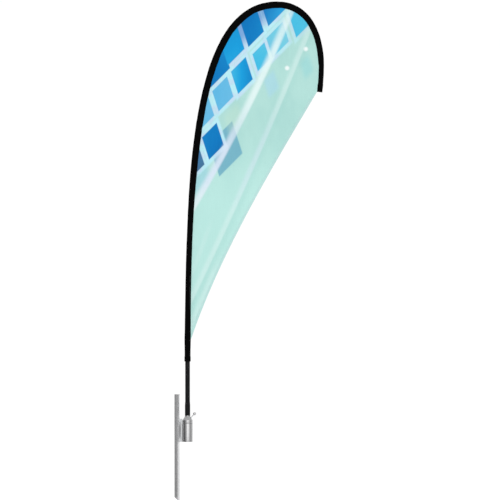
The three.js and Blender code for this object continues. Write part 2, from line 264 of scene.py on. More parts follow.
def namedGroup(name, treeKind, inputs, outputs):
    # inputs are name, kind and what it is when nothing is set; outputs are name and kind
    tree = bpy.data.node_groups.new(name, treeKind)
    for label, kind, default in inputs:
        socket = tree.interface.new_socket(label, in_out="INPUT", socket_type=socketKinds[kind])
        if default is not None:
            socket.default_value = default
    for label, kind in outputs:
        tree.interface.new_socket(label, in_out="OUTPUT", socket_type=socketKinds[kind])
    return tree, nodeIn(tree, "NodeGroupInput", -900, 0), nodeIn(tree, "NodeGroupOutput", 900, 0)


def placeGroup(tree, group, values):
    node = nodeIn(tree, "ShaderNodeGroup", node_tree=group)
    for label, value in values.items():
        if isinstance(value, (int, float, tuple)):
            node.inputs[label].default_value = value
        else:
            tree.links.new(value, node.inputs[label])
    return node


# shared effects
def weaveGroup():
    # warp and weft threads over object coordinates, with slubs
    tree, ins, outs = namedGroup("plainWeave", "ShaderNodeTree", [
        ("Vector", "vector", None), ("Threads", "value", 1400.0), ("Slub", "value", 0.35)],
        [("Height", "value"), ("Tone", "value")])
    calc = partial(mathNode, tree)
    vector, threads = ins.outputs["Vector"], ins.outputs["Threads"]
    split = splitNode(tree, vector)
    waves = []
    for axis, other in (("X", "Z"), ("Z", "X")):
        thread = calc("ABSOLUTE", calc("SINE", calc("MULTIPLY", split[axis], threads)))
        flip = calc("SINE", calc("MULTIPLY", calc("MULTIPLY", split[other], threads), 0.5))
        waves.append(calc("MULTIPLY", thread, calc("MULTIPLY_ADD", flip, 0.5, 0.5)))
    height = calc("MAXIMUM", waves[0], waves[1])
    slub = noiseNode(tree, stretchVector(tree, vector, (220.0, 220.0, 9.0)), 1.0, 3.0)
    tone = calc("MULTIPLY_ADD", calc("SUBTRACT", slub, 0.5), ins.outputs["Slub"], height)
    tree.links.new(height, outs.inputs["Height"])
    tree.links.new(tone, outs.inputs["Tone"])
    return tree


def metalGroup():
    # fine grain along one direction, cloudy stains and a few long scratches
    tree, ins, outs = namedGroup("metalGrain", "ShaderNodeTree", [
        ("Vector", "vector", None), ("Grain Scale", "vector", (40.0, 40.0, 3000.0)),
        ("Stain Scale", "value", 22.0), ("Scratches", "value", 0.5)],
        [("Grain", "value"), ("Stain", "value"), ("Scratch", "value")])
    calc, ease, _ = nodeTools(tree)
    vector = ins.outputs["Vector"]
    stretched = nodeIn(tree, "ShaderNodeVectorMath", operation="MULTIPLY")
    tree.links.new(vector, stretched.inputs[0])
    tree.links.new(ins.outputs["Grain Scale"], stretched.inputs[1])
    grain = noiseNode(tree, stretched.outputs[0], 1.0, 4.0, 0.6)
    stain = noiseNode(tree, vector, 22.0, 5.0, 0.62)
    tree.links.new(ins.outputs["Stain Scale"], stain.node.inputs["Scale"])
    lines = noiseNode(tree, stretchVector(tree, vector, (1400.0, 1400.0, 26.0)), 1.0, 2.0)
    thin = ease(calc("ABSOLUTE", calc("SUBTRACT", lines, 0.5)), 0.0, 0.012, 1.0, 0.0)
    patch = ease(noiseNode(tree, vector, 60.0, 1.0), 0.52, 0.62)
    scratch = calc("MULTIPLY", calc("MULTIPLY", thin, patch), ins.outputs["Scratches"])
    for label, value in (("Grain", grain), ("Stain", stain), ("Scratch", scratch)):
        tree.links.new(value, outs.inputs[label])
    return tree


def dustGroup():
    # dust and grass dirt that gathers low down
    tree, ins, outs = namedGroup("groundDust", "ShaderNodeTree", [
        ("Vector", "vector", None), ("Clean Above", "value", 0.1), ("Amount", "value", 0.3)],
        [("Mask", "value")])
    calc, ease, _ = nodeTools(tree)
    vector = ins.outputs["Vector"]
    fade = ease(calc("SUBTRACT", ins.outputs["Clean Above"], splitNode(tree, vector)["Z"]), 0.0, 0.25)
    speckle = ease(noiseNode(tree, vector, 130.0, 6.0, 0.7), 0.42, 0.72)
    mask = calc("MULTIPLY", calc("MULTIPLY", fade, speckle), ins.outputs["Amount"])
    tree.links.new(mask, outs.inputs["Mask"])
    return tree


printLook = {
    "tileAt": (0.134, 1.593),  # middle of the first tile
    "tileStepRight": (0.102, 0.103), "tileStepUp": (-0.050, 0.155),
    # tiles in steps right and up from there: middle, half size, tone, how it drifts right and up, strength
    "tiles": [((-1.00, 0.00), (0.38, 0.38), 0.02, (0.0, 0.1), 0.90),
              ((0.00, 0.00), (0.38, 0.38), 0.12, (-0.04, 0.06), 1.0),
              ((0.00, 0.97), (0.38, 0.34), 0.62, (0.0, 0.1), 0.90),
              ((0.99, 0.96), (0.38, 0.34), 0.66, (0.06, 0.0), 0.97),
              ((1.97, 0.94), (0.38, 0.38), 0.34, (-0.26, 0.14), 1.0),
              ((2.96, 0.92), (0.31, 0.29), 0.83, (0.03, 0.05), 0.95),
              ((3.82, 0.93), (0.42, 0.33), 0.88, (0.05, 0.0), 0.80),
              ((5.02, 0.91), (0.44, 0.41), 0.84, (0.03, 0.02), 0.95),
              ((1.10, 1.98), (0.50, 0.54), 0.17, (0.02, 0.06), 1.0),
              ((1.98, 1.99), (0.43, 0.43), 0.32, (-0.04, -0.08), 1.0),
              ((2.99, 1.97), (0.40, 0.47), 0.11, (0.04, -0.06), 1.0),
              ((4.07, 1.98), (0.44, 0.46), 0.20, (0.22, -0.16), 0.97)],
    "tileSoft": 0.018, "bandWidth": 0.13, "bandSoft": 0.05,
    # soft translucent shapes in the same slant: middle, half size, softness, strength
    "veils": [((0.41, -0.53), (0.60, 0.55), 0.03, 0.86, (108, 174, 198)),
              ((3.02, -0.05), (0.26, 0.30), 0.10, 0.42, (166, 216, 244)),
              ((4.62, -0.52), (0.22, 0.28), 0.14, 0.52, (148, 216, 218)),
              ((1.10, 0.05), (0.36, 0.30), 0.14, 0.26, (206, 234, 208)),
              ((-0.95, -0.62), (0.42, 0.30), 0.16, 0.50, (146, 208, 228))],
    # pale rays: a point, lean and bend of the line, width to its left and right, strength
    "rays": [((0.4738, 2.1057), 0.440, -0.085, 0.040, 0.025, 0.88),
             ((0.4407, 1.6843), 0.425, -0.030, 0.030, 0.018, 0.36),
             ((0.1200, 0.8550), 0.420, 0.000, 0.030, 0.016, 0.30),
             ((0.1180, 1.1500), 0.360, -0.060, 0.020, 0.020, 0.14)],
    "rayTops": (2.40, 2.30, 1.02, 1.22), "rayFade": 0.16,  # height where each ray starts
    "shadeBeside": ((0.4407, 1.6843), 0.425, -0.030, 0.034, 0.16),
    "dots": ((0.627, 2.082), (0.528, 1.981)), "dotRadius": 0.013,
    "dotEdge": (0.35, 1.35, 0.9),  # shares of the radius between which a dot fades, and its strength
    # clouds: stretch, scale, detail, roughness, and the levels between which each turns
    "cloud": ((3.2, 1.0, 1.5), 1.6, 3.0, 0.55), "cloudTurn": (0.36, 0.66),
    "patches": ((5.0, 1.0, 1.4), 1.4, 2.0, 0.5), "patchTurn": (0.30, 0.60, 0.74),
    "bandCloud": ((1.0, 1.0, 1.0), 14.0, 1.0, 0.5), "bandTurn": (0.44, 0.60),
    "mint": (sRgb(182, 226, 219), sRgb(172, 219, 213)),
    "lowMint": sRgb(194, 239, 232), "lowTurn": (1.75, 1.20, 0.0, 0.72),
    "bandTints": (sRgb(190, 240, 250), sRgb(199, 226, 247)), "bandCloudy": (0.35, 0.76),
    "highBand": sRgb(118, 164, 220), "highTurn": (1.48, 2.00, 0.0, 0.95), "bandFade": (3.9, 4.9, 1.0, 0.45),
    "toneDrift": 0.16,
    "rayTints": (sRgb(222, 234, 250), sRgb(232, 250, 249)), "rayTurnAt": 1.50, "rayTurn": (0.06, 0.34),
    "shadeTint": sRgb(150, 206, 200), "shadeStart": (0.004, 0.014), "shadeEnd": 0.02,
    "dotTint": sRgb(246, 253, 253),
}

tileTones = [(0.0, sRgb(24, 92, 142)), (0.10, sRgb(18, 122, 194)), (0.18, sRgb(24, 136, 203)),
             (0.34, sRgb(28, 160, 223)), (0.44, sRgb(54, 178, 228)), (0.60, sRgb(92, 184, 230)),
             (0.70, sRgb(104, 190, 231)), (0.80, sRgb(50, 188, 231)), (0.90, sRgb(88, 199, 226)),
             (1.0, sRgb(142, 212, 232))]


def printGroup():
    # rows of slanting blue tiles that fade into mint, with long pale rays
    tree, ins, outs = namedGroup(
        "flagPrint", "ShaderNodeTree", [("Vector", "vector", None)], [("Color", "colour")])
    calc, ease, mix = nodeTools(tree)
    look, vector = printLook, ins.outputs["Vector"]
    split = splitNode(tree, vector)
    x, z = split["X"], split["Z"]

    def clouds(name):
        stretch, *shape = look[name]
        return noiseNode(tree, stretchVector(tree, vector, stretch), *shape)

    # steps along the slanting rows and from row to row
    (rightX, rightZ), (upX, upZ) = look["tileStepRight"], look["tileStepUp"]
    area = rightX * upZ - rightZ * upX
    relX, relZ = calc("SUBTRACT", x, look["tileAt"][0]), calc("SUBTRACT", z, look["tileAt"][1])
    along = calc("ADD", calc("MULTIPLY", relX, upZ / area), calc("MULTIPLY", relZ, -upX / area))
    row = calc("ADD", calc("MULTIPLY", relZ, rightX / area), calc("MULTIPLY", relX, -rightZ / area))

    def edgeGaps(middle, half):
        # how far past a slanting shape's sides a point is
        return [calc("SUBTRACT", calc("ABSOLUTE", calc("SUBTRACT", value, at)), size)
                for value, at, size in zip((along, row), middle, half)]

    def linePlace(point, lean, bend):
        # distance to the right of a gently bent line
        rise = calc("SUBTRACT", z, point[1])
        drift = calc("MULTIPLY", calc("MULTIPLY_ADD", rise, bend, lean), rise)
        return calc("SUBTRACT", calc("SUBTRACT", x, point[0]), drift)

    # base cloth colour: mint with faint clouds
    cloud = clouds("cloud")
    colour = mix(ease(cloud, *look["cloudTurn"]), *look["mint"])
    colour = mix(ease(z, *look["lowTurn"]), colour, look["lowMint"])
    for middle, half, soft, strength, tint in look["veils"]:
        veil = calc("MULTIPLY", *[ease(gap, -soft, soft, 1.0, 0.0) for gap in edgeGaps(middle, half)])
        colour = mix(calc("MULTIPLY", veil, strength), colour, sRgb(*tint))

    # the tiles with their pale bands, and how deep each blue is
    bandTint = mix(ease(clouds("bandCloud"), *look["bandTurn"]), *look["bandTints"])
    drift = calc("MULTIPLY", calc("SUBTRACT", cloud, 0.5), look["toneDrift"])
    soft, bandSoft, edge = look["tileSoft"], look["bandSoft"], look["bandWidth"]
    tone, band, shown = 0.0, 0.0, 0.0
    for middle, half, depth, (sideDrift, upDrift), strength in look["tiles"]:
        gap = calc("MAXIMUM", *edgeGaps(middle, half))
        within = ease(gap, -soft, soft, 1.0, 0.0)
        around = ease(gap, edge - bandSoft, edge + bandSoft, 1.0, 0.0)
        band = calc("MAXIMUM", band, calc("MULTIPLY", around, strength))
        shown = calc("MAXIMUM", shown, calc("MULTIPLY", within, strength))
        rising = calc("MULTIPLY_ADD", calc("SUBTRACT", row, middle[1]), upDrift, drift)
        here = calc("MULTIPLY_ADD", calc("SUBTRACT", along, middle[0]), sideDrift, calc("ADD", rising, depth))
        beyond = calc("SUBTRACT", 1.0, within)
        tone = calc("ADD", calc("MULTIPLY", tone, beyond), calc("MULTIPLY", here, within))
    bandTint = mix(ease(row, *look["highTurn"]), bandTint, look["highBand"])
    band = calc("MULTIPLY", band, ease(along, *look["bandFade"]))
    colour = mix(calc("MULTIPLY", band, calc("MULTIPLY_ADD", cloud, *look["bandCloudy"])), colour, bandTint)
    colour = mix(shown, colour, rampNode(tree, tone, tileTones))

    # long pale rays that lean with the cloth, and the shade beside one of them
    point, lean, bend, width, strength = look["shadeBeside"]
    place = linePlace(point, lean, bend)
    end = look["shadeEnd"]
    shade = calc("MULTIPLY", ease(place, *look["shadeStart"]), ease(place, end, end + width, 1, 0))
    colour = mix(calc("MULTIPLY", shade, strength), colour, look["shadeTint"])
    patchy = ease(clouds("patches"), *look["patchTurn"], 1.0)
    fromMiddle = calc("ABSOLUTE", calc("SUBTRACT", z, look["rayTurnAt"]))
    rayColour = mix(ease(fromMiddle, *look["rayTurn"]), *look["rayTints"])
    for (point, lean, bend, left, right, strength), top in zip(look["rays"], look["rayTops"]):
        place = linePlace(point, lean, bend)
        ray = calc("MULTIPLY", ease(place, -left, -left * 0.1), ease(place, right * 0.3, right, 1, 0))
        ray = calc("MULTIPLY", ray, ease(z, top - look["rayFade"], top, 1, 0))
        colour = mix(calc("MULTIPLY", calc("MULTIPLY", ray, patchy), strength), colour, rayColour)

    near, far, strength = look["dotEdge"]
    for dot in look["dots"]:
        gaps = [calc("SUBTRACT", value, at) for value, at in zip((x, z), dot)]
        reach = calc("SQRT", calc("ADD", *[calc("MULTIPLY", gap, gap) for gap in gaps]))
        spot = ease(reach, look["dotRadius"] * near, look["dotRadius"] * far, strength, 0.0)
        colour = mix(spot, colour, look["dotTint"])

    tree.links.new(colour, outs.inputs["Color"])
    return tree


plainWeave = weaveGroup()
metalGrain = metalGroup()
groundDust = dustGroup()
flagPrint = printGroup()


# materials
def newMaterial(name, roughness, metallic=0.0, gloss=0.5, glossTint=(1, 1, 1, 1)):
    material = bpy.data.materials.new(name)
    material.use_nodes = True
    tree = material.node_tree
    shader = tree.nodes["Principled BSDF"]
    shader.inputs["Roughness"].default_value = roughness
    shader.inputs["Metallic"].default_value = metallic
    shader.inputs["Specular IOR Level"].default_value = gloss
    shader.inputs["Specular Tint"].default_value = glossTint
    coords = nodeIn(tree, "ShaderNodeTexCoord", -1400, 0).outputs["Object"]
    return material, tree, shader, coords


def bumpFrom(tree, shader, height, strength, distance):
    bump = nodeIn(tree, "ShaderNodeBump", -200, -300)
    bump.inputs["Strength"].default_value = strength
    bump.inputs["Distance"].default_value = distance
    tree.links.new(height, bump.inputs["Height"])
    tree.links.new(bump.outputs["Normal"], shader.inputs["Normal"])


def lighten(colour, times):
    return tuple(min(1.0, part * times) for part in colour[:3]) + (1,)


clothLook = {
    "slub": 0.5, "weaveTone": (0.10, 0.93), "weaveRough": -0.12, "roughMore": 0.05,
    "fadeScale": 35.0, "fadeDetail": 4.0, "faded": 1.7, "bump": (0.35, 0.0003),
}


def clothMaterial(name, threads, roughness, colour, printed=False, pale=0.0, gloss=0.05):
    # woven cloth, plain in one colour or printed and paled towards it
    look = clothLook
    material, tree, shader, coords = newMaterial(name, roughness, gloss=gloss)
    calc, _, mix = nodeTools(tree)
    weave = placeGroup(tree, plainWeave, {"Vector": coords, "Threads": threads, "Slub": look["slub"]}).outputs
    if printed:
        ink = mix(pale, placeGroup(tree, flagPrint, {"Vector": coords}).outputs["Color"], colour)
    else:
        fade = noiseNode(tree, coords, look["fadeScale"], look["fadeDetail"])
        ink = mix(fade, colour, lighten(colour, look["faded"]))
    toned = mix(1.0, ink, calc("MULTIPLY_ADD", weave["Tone"], *look["weaveTone"]), "MULTIPLY")
    rough = calc("MULTIPLY_ADD", weave["Height"], look["weaveRough"], roughness + look["roughMore"])
    tree.links.new(toned, shader.inputs["Base Color"])
    tree.links.new(rough, shader.inputs["Roughness"])
    bumpFrom(tree, shader, weave["Height"], *look["bump"])
    return material


steelLook = {
    "stain": (0.34, 0.70), "scratchTint": (0.9, 0.9, 0.9, 1), "dirtTint": (0.16, 0.13, 0.10, 1),
    "cleanAbove": 0.05, "grainRough": 0.22, "roughLess": 0.10, "dirtRough": 0.3, "bump": (0.12, 0.0002),
}


def steelMaterial(name, colour, dark, roughness, grainScale, stainScale, scratches, dust):
    look = steelLook
    material, tree, shader, coords = newMaterial(name, roughness, 1.0)
    calc, ease, mix = nodeTools(tree)
    grain = placeGroup(tree, metalGrain, {
        "Vector": coords, "Grain Scale": grainScale, "Stain Scale": stainScale,
        "Scratches": scratches}).outputs
    dirt = placeGroup(tree, groundDust, {
        "Vector": coords, "Clean Above": look["cleanAbove"], "Amount": dust}).outputs["Mask"]
    base = mix(ease(grain["Stain"], *look["stain"]), colour, dark)
    base = mix(grain["Scratch"], base, look["scratchTint"])
    rough = calc("MULTIPLY_ADD", grain["Grain"], look["grainRough"], roughness - look["roughLess"])
    rough = calc("ADD", rough, calc("MULTIPLY", dirt, look["dirtRough"]))
    tree.links.new(mix(dirt, base, look["dirtTint"]), shader.inputs["Base Color"])
    tree.links.new(calc("SUBTRACT", 1.0, dirt), shader.inputs["Metallic"])
    tree.links.new(rough, shader.inputs["Roughness"])
    bumpFrom(tree, shader, calc("SUBTRACT", grain["Grain"], grain["Scratch"]), *look["bump"])
    return material


mouldLook = {
    "glossTint": (0.45, 0.45, 0.46, 1), "stain": (0.35, 0.75), "stainScale": 30.0, "stained": 1.8,
    "scratches": 0.35, "scratchShown": 0.35, "scratchTint": (0.16, 0.16, 0.16, 1),
    "grainRough": 0.18, "roughLess": 0.09, "bump": (0.15, 0.0002),
}


def mouldedMaterial(name, colour, roughness, grainScale, gloss=0.2):
    look = mouldLook
    material, tree, shader, coords = newMaterial(
        name, roughness, gloss=gloss, glossTint=look["glossTint"])
    calc, ease, mix = nodeTools(tree)
    grain = placeGroup(tree, metalGrain, {
        "Vector": coords, "Grain Scale": grainScale, "Stain Scale": look["stainScale"],
        "Scratches": look["scratches"]}).outputs
    base = mix(ease(grain["Stain"], *look["stain"]), colour, lighten(colour, look["stained"]))
    base = mix(calc("MULTIPLY", grain["Scratch"], look["scratchShown"]), base, look["scratchTint"])
    rough = calc("MULTIPLY_ADD", grain["Grain"], look["grainRough"], roughness - look["roughLess"])
    tree.links.new(base, shader.inputs["Base Color"])
    tree.links.new(rough, shader.inputs["Roughness"])
    bumpFrom(tree, shader, grain["Grain"], *look["bump"])
    return material


def threadMaterial(name, roughness, shade, light, gloss=0.5):
    material, tree, shader, coords = newMaterial(name, roughness, gloss=gloss)
    twist = rampNode(tree, noiseNode(tree, coords, 900.0, 2.0), [(0.3, shade), (0.7, light)])
    tree.links.new(twist, shader.inputs["Base Color"])
    return material


flagCloth = clothMaterial("printedPolyester", 5200.0, 0.78, sRgb(240, 250, 250), True)
hemCloth = clothMaterial("foldedHem", 5200.0, 0.82, sRgb(190, 214, 216), True, 0.30)
sleeveCloth = clothMaterial("blackSleeveCloth", 3600.0, 0.92, (0.0019, 0.0019, 0.0020, 1), gloss=0.015)
blackThread = threadMaterial("blackThread", 0.8, (0.003, 0.003, 0.003, 1), (0.010, 0.010, 0.011, 1), 0.06)
paleThread = threadMaterial("paleThread", 0.6, sRgb(198, 224, 222), sRgb(232, 244, 243))

steelFinishes = {
    # light and stained grey, roughness, grain scale, stain scale, scratches, dust
    "galvanisedAngle": ((0.90, 0.90, 0.91, 1), (0.80, 0.81, 0.82, 1), 0.34, (90, 90, 160), 95.0, 0.5, 0.22),
    "plateSteel": ((0.56, 0.57, 0.58, 1), (0.50, 0.51, 0.52, 1), 0.42, (1600, 300, 60), 40.0, 0.5, 0.25),
    "turnedSteel": ((0.54, 0.54, 0.545, 1), (0.49, 0.49, 0.495, 1), 0.25, (14, 14, 5200), 18.0, 0.35, 0.15),
    "groundSteel": ((0.78, 0.79, 0.80, 1), (0.70, 0.71, 0.72, 1), 0.20, (30, 30, 4200), 30.0, 0.2, 0.0),
    "weldBead": ((0.72, 0.72, 0.73, 1), (0.60, 0.59, 0.59, 1), 0.42, (900, 900, 900), 160.0, 0.1, 0.2),
    "turnedBrass": ((0.72, 0.52, 0.22, 1), (0.55, 0.38, 0.14, 1), 0.30, (60, 60, 2400), 60.0, 0.2, 0.0),
}
zincSteel, plateSteel, turnedSteel, groundSteel, weldSteel, padBrass = [
    steelMaterial(name, *look) for name, look in steelFinishes.items()]

mouldedFinishes = {
    # colour, roughness, grain scale, gloss
    "darkPoleTube": ((0.0095, 0.0097, 0.0102, 1), 0.52, (1800, 1800, 30), 0.07),
    "wrappedGlassFibre": ((0.010, 0.010, 0.012, 1), 0.48, (300, 300, 1400), 0.3),
    "blackMoulding": ((0.0080, 0.0080, 0.0084, 1), 0.52, (700, 700, 700), 0.08),
    "sealRubber": ((0.012, 0.012, 0.012, 1), 0.75, (500, 500, 500)),
}
darkPole, wrappedPole, blackMoulding, sealRubber = [
    mouldedMaterial(name, *look) for name, look in mouldedFinishes.items()]
print("materials ready")


# pole path
polePath = {
    "bendStart": (0.0, 0.434), "crown": (0.4768, 2.3174), "tip": (0.700, 1.851),
    "bendPull": (0.0, 1.4895), "crownPullLeft": (0.0495, 2.3174),
    "crownPullRight": (0.6419, 2.3174), "tipPull": (0.7404, 2.1501),
    "samples": 3000,
}


def bezierPoint(corners, t):
    a, b, c, d = [Vector((x, 0, z)) for x, z in corners]
    s = 1 - t
    return a * s ** 3 + b * 3 * s * s * t + c * 3 * s * t * t + d * t ** 3


def runningLength(points):
    lengths = [0.0]
    for first, second in zip(points, points[1:]):
        lengths.append(lengths[-1] + (second - first).length)
    return lengths


def measurePath():
    # points of the pole's middle line, with their distance from the ground
    spans = [
        (polePath["bendStart"], polePath["bendPull"], polePath["crownPullLeft"], polePath["crown"]),
        (polePath["crown"], polePath["crownPullRight"], polePath["tipPull"], polePath["tip"]),
    ]
    bendX, bendZ = polePath["bendStart"]
    points = [Vector((0, 0, 0)), Vector((bendX, 0, bendZ))]
    count = polePath["samples"] // 2
    for corners in spans:
        points += [bezierPoint(corners, i / count) for i in range(1, count + 1)]
    return points, runningLength(points)


pathPoints, pathDistances = measurePath()
poleLength = pathDistances[-1]


def polePoint(distance):
    low, high = 0, len(pathDistances) - 1
    distance = min(max(distance, 0.0), poleLength)
    while high - low > 1:
        middle = (low + high) // 2
        if pathDistances[middle] <= distance:
            low = middle
        else:
            high = middle
    share = (distance - pathDistances[low]) / (pathDistances[high] - pathDistances[low])
    return pathPoints[low].lerp(pathPoints[high], share)


def poleHeading(distance):
    return (polePoint(distance + 0.001) - polePoint(distance - 0.001)).normalized()


def poleInward(distance):
    return across.cross(poleHeading(distance)).normalized()  # towards the cloth


def easeBetween(value, low, high):
    share = min(max((value - low) / (high - low), 0.0), 1.0)
    return share * share * (3 - 2 * share)


def followTable(table, distance):
    # value at a distance from (distance, value) pairs, eased between them
    for (lowAt, lowValue), (highAt, highValue) in zip(table, table[1:]):
        if distance <= highAt:
            return lowValue + (highValue - lowValue) * easeBetween(distance, lowAt, highAt)
    return table[-1][1]


# mesh helpers
def addPiece(mesh, material=None):
    # the piece takes its mesh's name
    piece = bpy.data.objects.new(mesh.name, mesh)
    if material is not None:
        mesh.materials.clear()
        mesh.materials.append(material)
    scene.collection.objects.link(piece)
    return piece


def smoothPiece(piece, sharpDegrees=35.0):
    mesh = piece.data
    mesh.polygons.foreach_set("use_smooth", [True] * len(mesh.polygons))
    mesh.set_sharp_from_angle(angle=math.radians(sharpDegrees))


def outwards(mesh):
    work = bmesh.new()
    work.from_mesh(mesh)
    bmesh.ops.remove_doubles(work, verts=work.verts, dist=1e-6)
    bmesh.ops.recalc_face_normals(work, faces=work.faces)
    work.to_mesh(mesh)
    work.free()


def plainMesh(name, points, faces, edges=()):
    mesh = bpy.data.meshes.new(name)
    mesh.from_pydata(points, list(edges), faces)
    return mesh


def closedMesh(name, points, faces):
    mesh = plainMesh(name, points, faces)
    outwards(mesh)
    return mesh


def evaluatedMesh(piece):
    bpy.context.view_layer.update()
    graph = bpy.context.evaluated_depsgraph_get()
    return bpy.data.meshes.new_from_object(piece.evaluated_get(graph), depsgraph=graph)


def applyModifier(piece, kind, **settings):
    modifier = piece.modifiers.new("shape", kind)
    for key, value in settings.items():
        setattr(modifier, key, value)
    mesh = evaluatedMesh(piece)
    piece.modifiers.remove(modifier)
    piece.data = mesh


def gridFaces(rows, columns, start=0):
    # squares between rows of points, each row columns + 1 long
    step = columns + 1
    return [(a, a + 1, a + step + 1, a + step) for i in range(rows) for j in range(columns)
            for a in [start + i * step + j]]


def loftFaces(rings, count):
    # sides between equal rings of points, and both ends
    faces = []
    for start in range(0, (rings - 1) * count, count):
        for j in range(count):
            k = (j + 1) % count
            faces.append((start + j, start + k, start + count + k, start + count + j))
    return faces + [tuple(range(count)), tuple(range((rings - 1) * count, rings * count))]


def turnedMesh(name, profile, sides=96, place=None):
    # a closed profile of (radius, height) pairs, turned about its own +Z
    points, faces, rings = [], [], []
    for radius, height in profile:
        if radius < 1e-7:
            rings.append([len(points)] * sides)
            points.append(Vector((0, 0, height)))
            continue
        rings.append(list(range(len(points), len(points) + sides)))
        for i in range(sides):
            turn = 2 * math.pi * i / sides
            points.append(Vector((radius * math.cos(turn), radius * math.sin(turn), height)))
    for lower, upper in zip(rings, rings[1:] + rings[:1]):
        for i in range(sides):
            j = (i + 1) % sides
            corners = list(dict.fromkeys((lower[i], lower[j], upper[j], upper[i])))  # each once, in order
            if len(corners) > 2:
                faces.append(corners)
    if place is not None:
        points = [place @ point for point in points]
    return closedMesh(name, points, faces)


def roundedCorner(centreAcross, centreUp, radius, startDegrees, endDegrees, count=5):
    corner = []
    for i in range(count + 1):
        turn = math.radians(startDegrees + (endDegrees - startDegrees) * i / count)
        corner.append((centreAcross + radius * math.cos(turn), centreUp + radius * math.sin(turn)))
    return corner


def sweptTube(name, fromDistance, toDistance, outer, inner, sides=48, step=0.012):
    # a hollow tube along the pole's path
    count = max(2, round((toDistance - fromDistance) / step))
    points, faces = [], []
    for i in range(count + 1):
        distance = fromDistance + (toDistance - fromDistance) * i / count
        centre, inward = polePoint(distance), poleInward(distance)
        for radius in (outer, inner):
            for j in range(sides):
                turn = 2 * math.pi * j / sides
                points.append(centre + (inward * math.cos(turn) + across * math.sin(turn)) * radius)
    ring = sides * 2
    for i in range(count):
        for j in range(sides):
            k = (j + 1) % sides
            for shift in (0, sides):
                base = i * ring + shift
                faces.append((base + j, base + k, base + k + ring, base + j + ring))
    for end in (0, count * ring):
        for j in range(sides):
            k = (j + 1) % sides
            faces.append((end + j, end + k, end + sides + k, end + sides + j))
    return closedMesh(name, points, faces)


# geometry node helpers
def newTree(name, inputs):
    return namedGroup(name, "GeometryNodeTree", [("Geometry", "geometry", None)] + inputs + [
        ("Material", "material", None)], [("Geometry", "geometry")])


def closeTree(tree, ins, outs, geometry):
    realize = nodeIn(tree, "GeometryNodeRealizeInstances", 800, 0)
    finish = nodeIn(tree, "GeometryNodeSetMaterial", 1000, 0)
    tree.links.new(geometry, realize.inputs["Geometry"])
    tree.links.new(realize.outputs["Geometry"], finish.inputs["Geometry"])
    tree.links.new(ins.outputs["Material"], finish.inputs["Material"])
    tree.links.new(finish.outputs["Geometry"], outs.inputs["Geometry"])


def growPiece(name, tree, lines, values, attributes=None):
    # runs a tree on open lines of points and keeps the result as a plain mesh
    points, edges = [], []
    for line in lines:
        start = len(points)
        points += line
        edges += [(start + i, start + i + 1) for i in range(len(line) - 1)]
    source = plainMesh(name + "Path", points, [], edges)
    for label, numbers in (attributes or {}).items():
        source.attributes.new(label, "FLOAT", "POINT").data.foreach_set("value", numbers)
    holder = addPiece(source)
    modifier = holder.modifiers.new("grow", "NODES")
    modifier.node_group = tree
    for item in tree.interface.items_tree:
        if item.in_out == "INPUT" and item.name in values:
            modifier[item.identifier] = values[item.name]
    mesh = evaluatedMesh(holder)
    mesh.name = name
    bpy.data.objects.remove(holder)
    return addPiece(mesh)


def spacedPoints(tree, ins, spacing):
    # points set out evenly along the incoming line
    curve = nodeIn(tree, "GeometryNodeMeshToCurve")
    points = nodeIn(tree, "GeometryNodeCurveToPoints", mode="LENGTH")
    tree.links.new(ins.outputs["Geometry"], curve.inputs[0])
    tree.links.new(curve.outputs[0], points.inputs["Curve"])
    tree.links.new(ins.outputs[spacing], points.inputs["Length"])
    return points


def standOnPoints(tree, points, shape, axis):
    # a shape on every point, with its axis turned along the line
    turn = nodeIn(tree, "FunctionNodeAlignRotationToVector", axis=axis)
    place = nodeIn(tree, "GeometryNodeInstanceOnPoints")
    tree.links.new(points.outputs["Tangent"], turn.inputs["Vector"])
    tree.links.new(points.outputs["Points"], place.inputs["Points"])
    tree.links.new(shape, place.inputs["Instance"])
    tree.links.new(turn.outputs[0], place.inputs["Rotation"])
    return place


def humpTree(name, inputs, segments, rings, lengthShare, smallest):
    # rounded humps along a line, each a little different: inputs are spacing, length and radius
    tree, ins, outs = newTree(name, inputs + [("Seed", "count", 3)])
    spacing, length, radius = [label for label, kind, value in inputs]
    link = tree.links.new
    points = spacedPoints(tree, ins, spacing)
    hump = nodeIn(tree, "GeometryNodeMeshUVSphere")
    for label, value in (("Segments", segments), ("Rings", rings), ("Radius", 1.0)):
        hump.inputs[label].default_value = value
    shape = nodeIn(tree, "ShaderNodeCombineXYZ")
    link(mathNode(tree, "MULTIPLY", ins.outputs[length], lengthShare), shape.inputs["X"])
    link(ins.outputs[radius], shape.inputs["Y"])
    link(ins.outputs[radius], shape.inputs["Z"])
    vary = nodeIn(tree, "FunctionNodeRandomValue", data_type="FLOAT")
    vary.inputs[2].default_value, vary.inputs[3].default_value = smallest, 1.12
    link(ins.outputs["Seed"], vary.inputs["Seed"])
    sized = nodeIn(tree, "ShaderNodeVectorMath", operation="SCALE")
    link(shape.outputs[0], sized.inputs[0])
    link(vary.outputs[1], sized.inputs["Scale"])
    place = standOnPoints(tree, points, hump.outputs["Mesh"], "X")
    link(sized.outputs[0], place.inputs["Scale"])
    closeTree(tree, ins, outs, place.outputs["Instances"])
    return tree


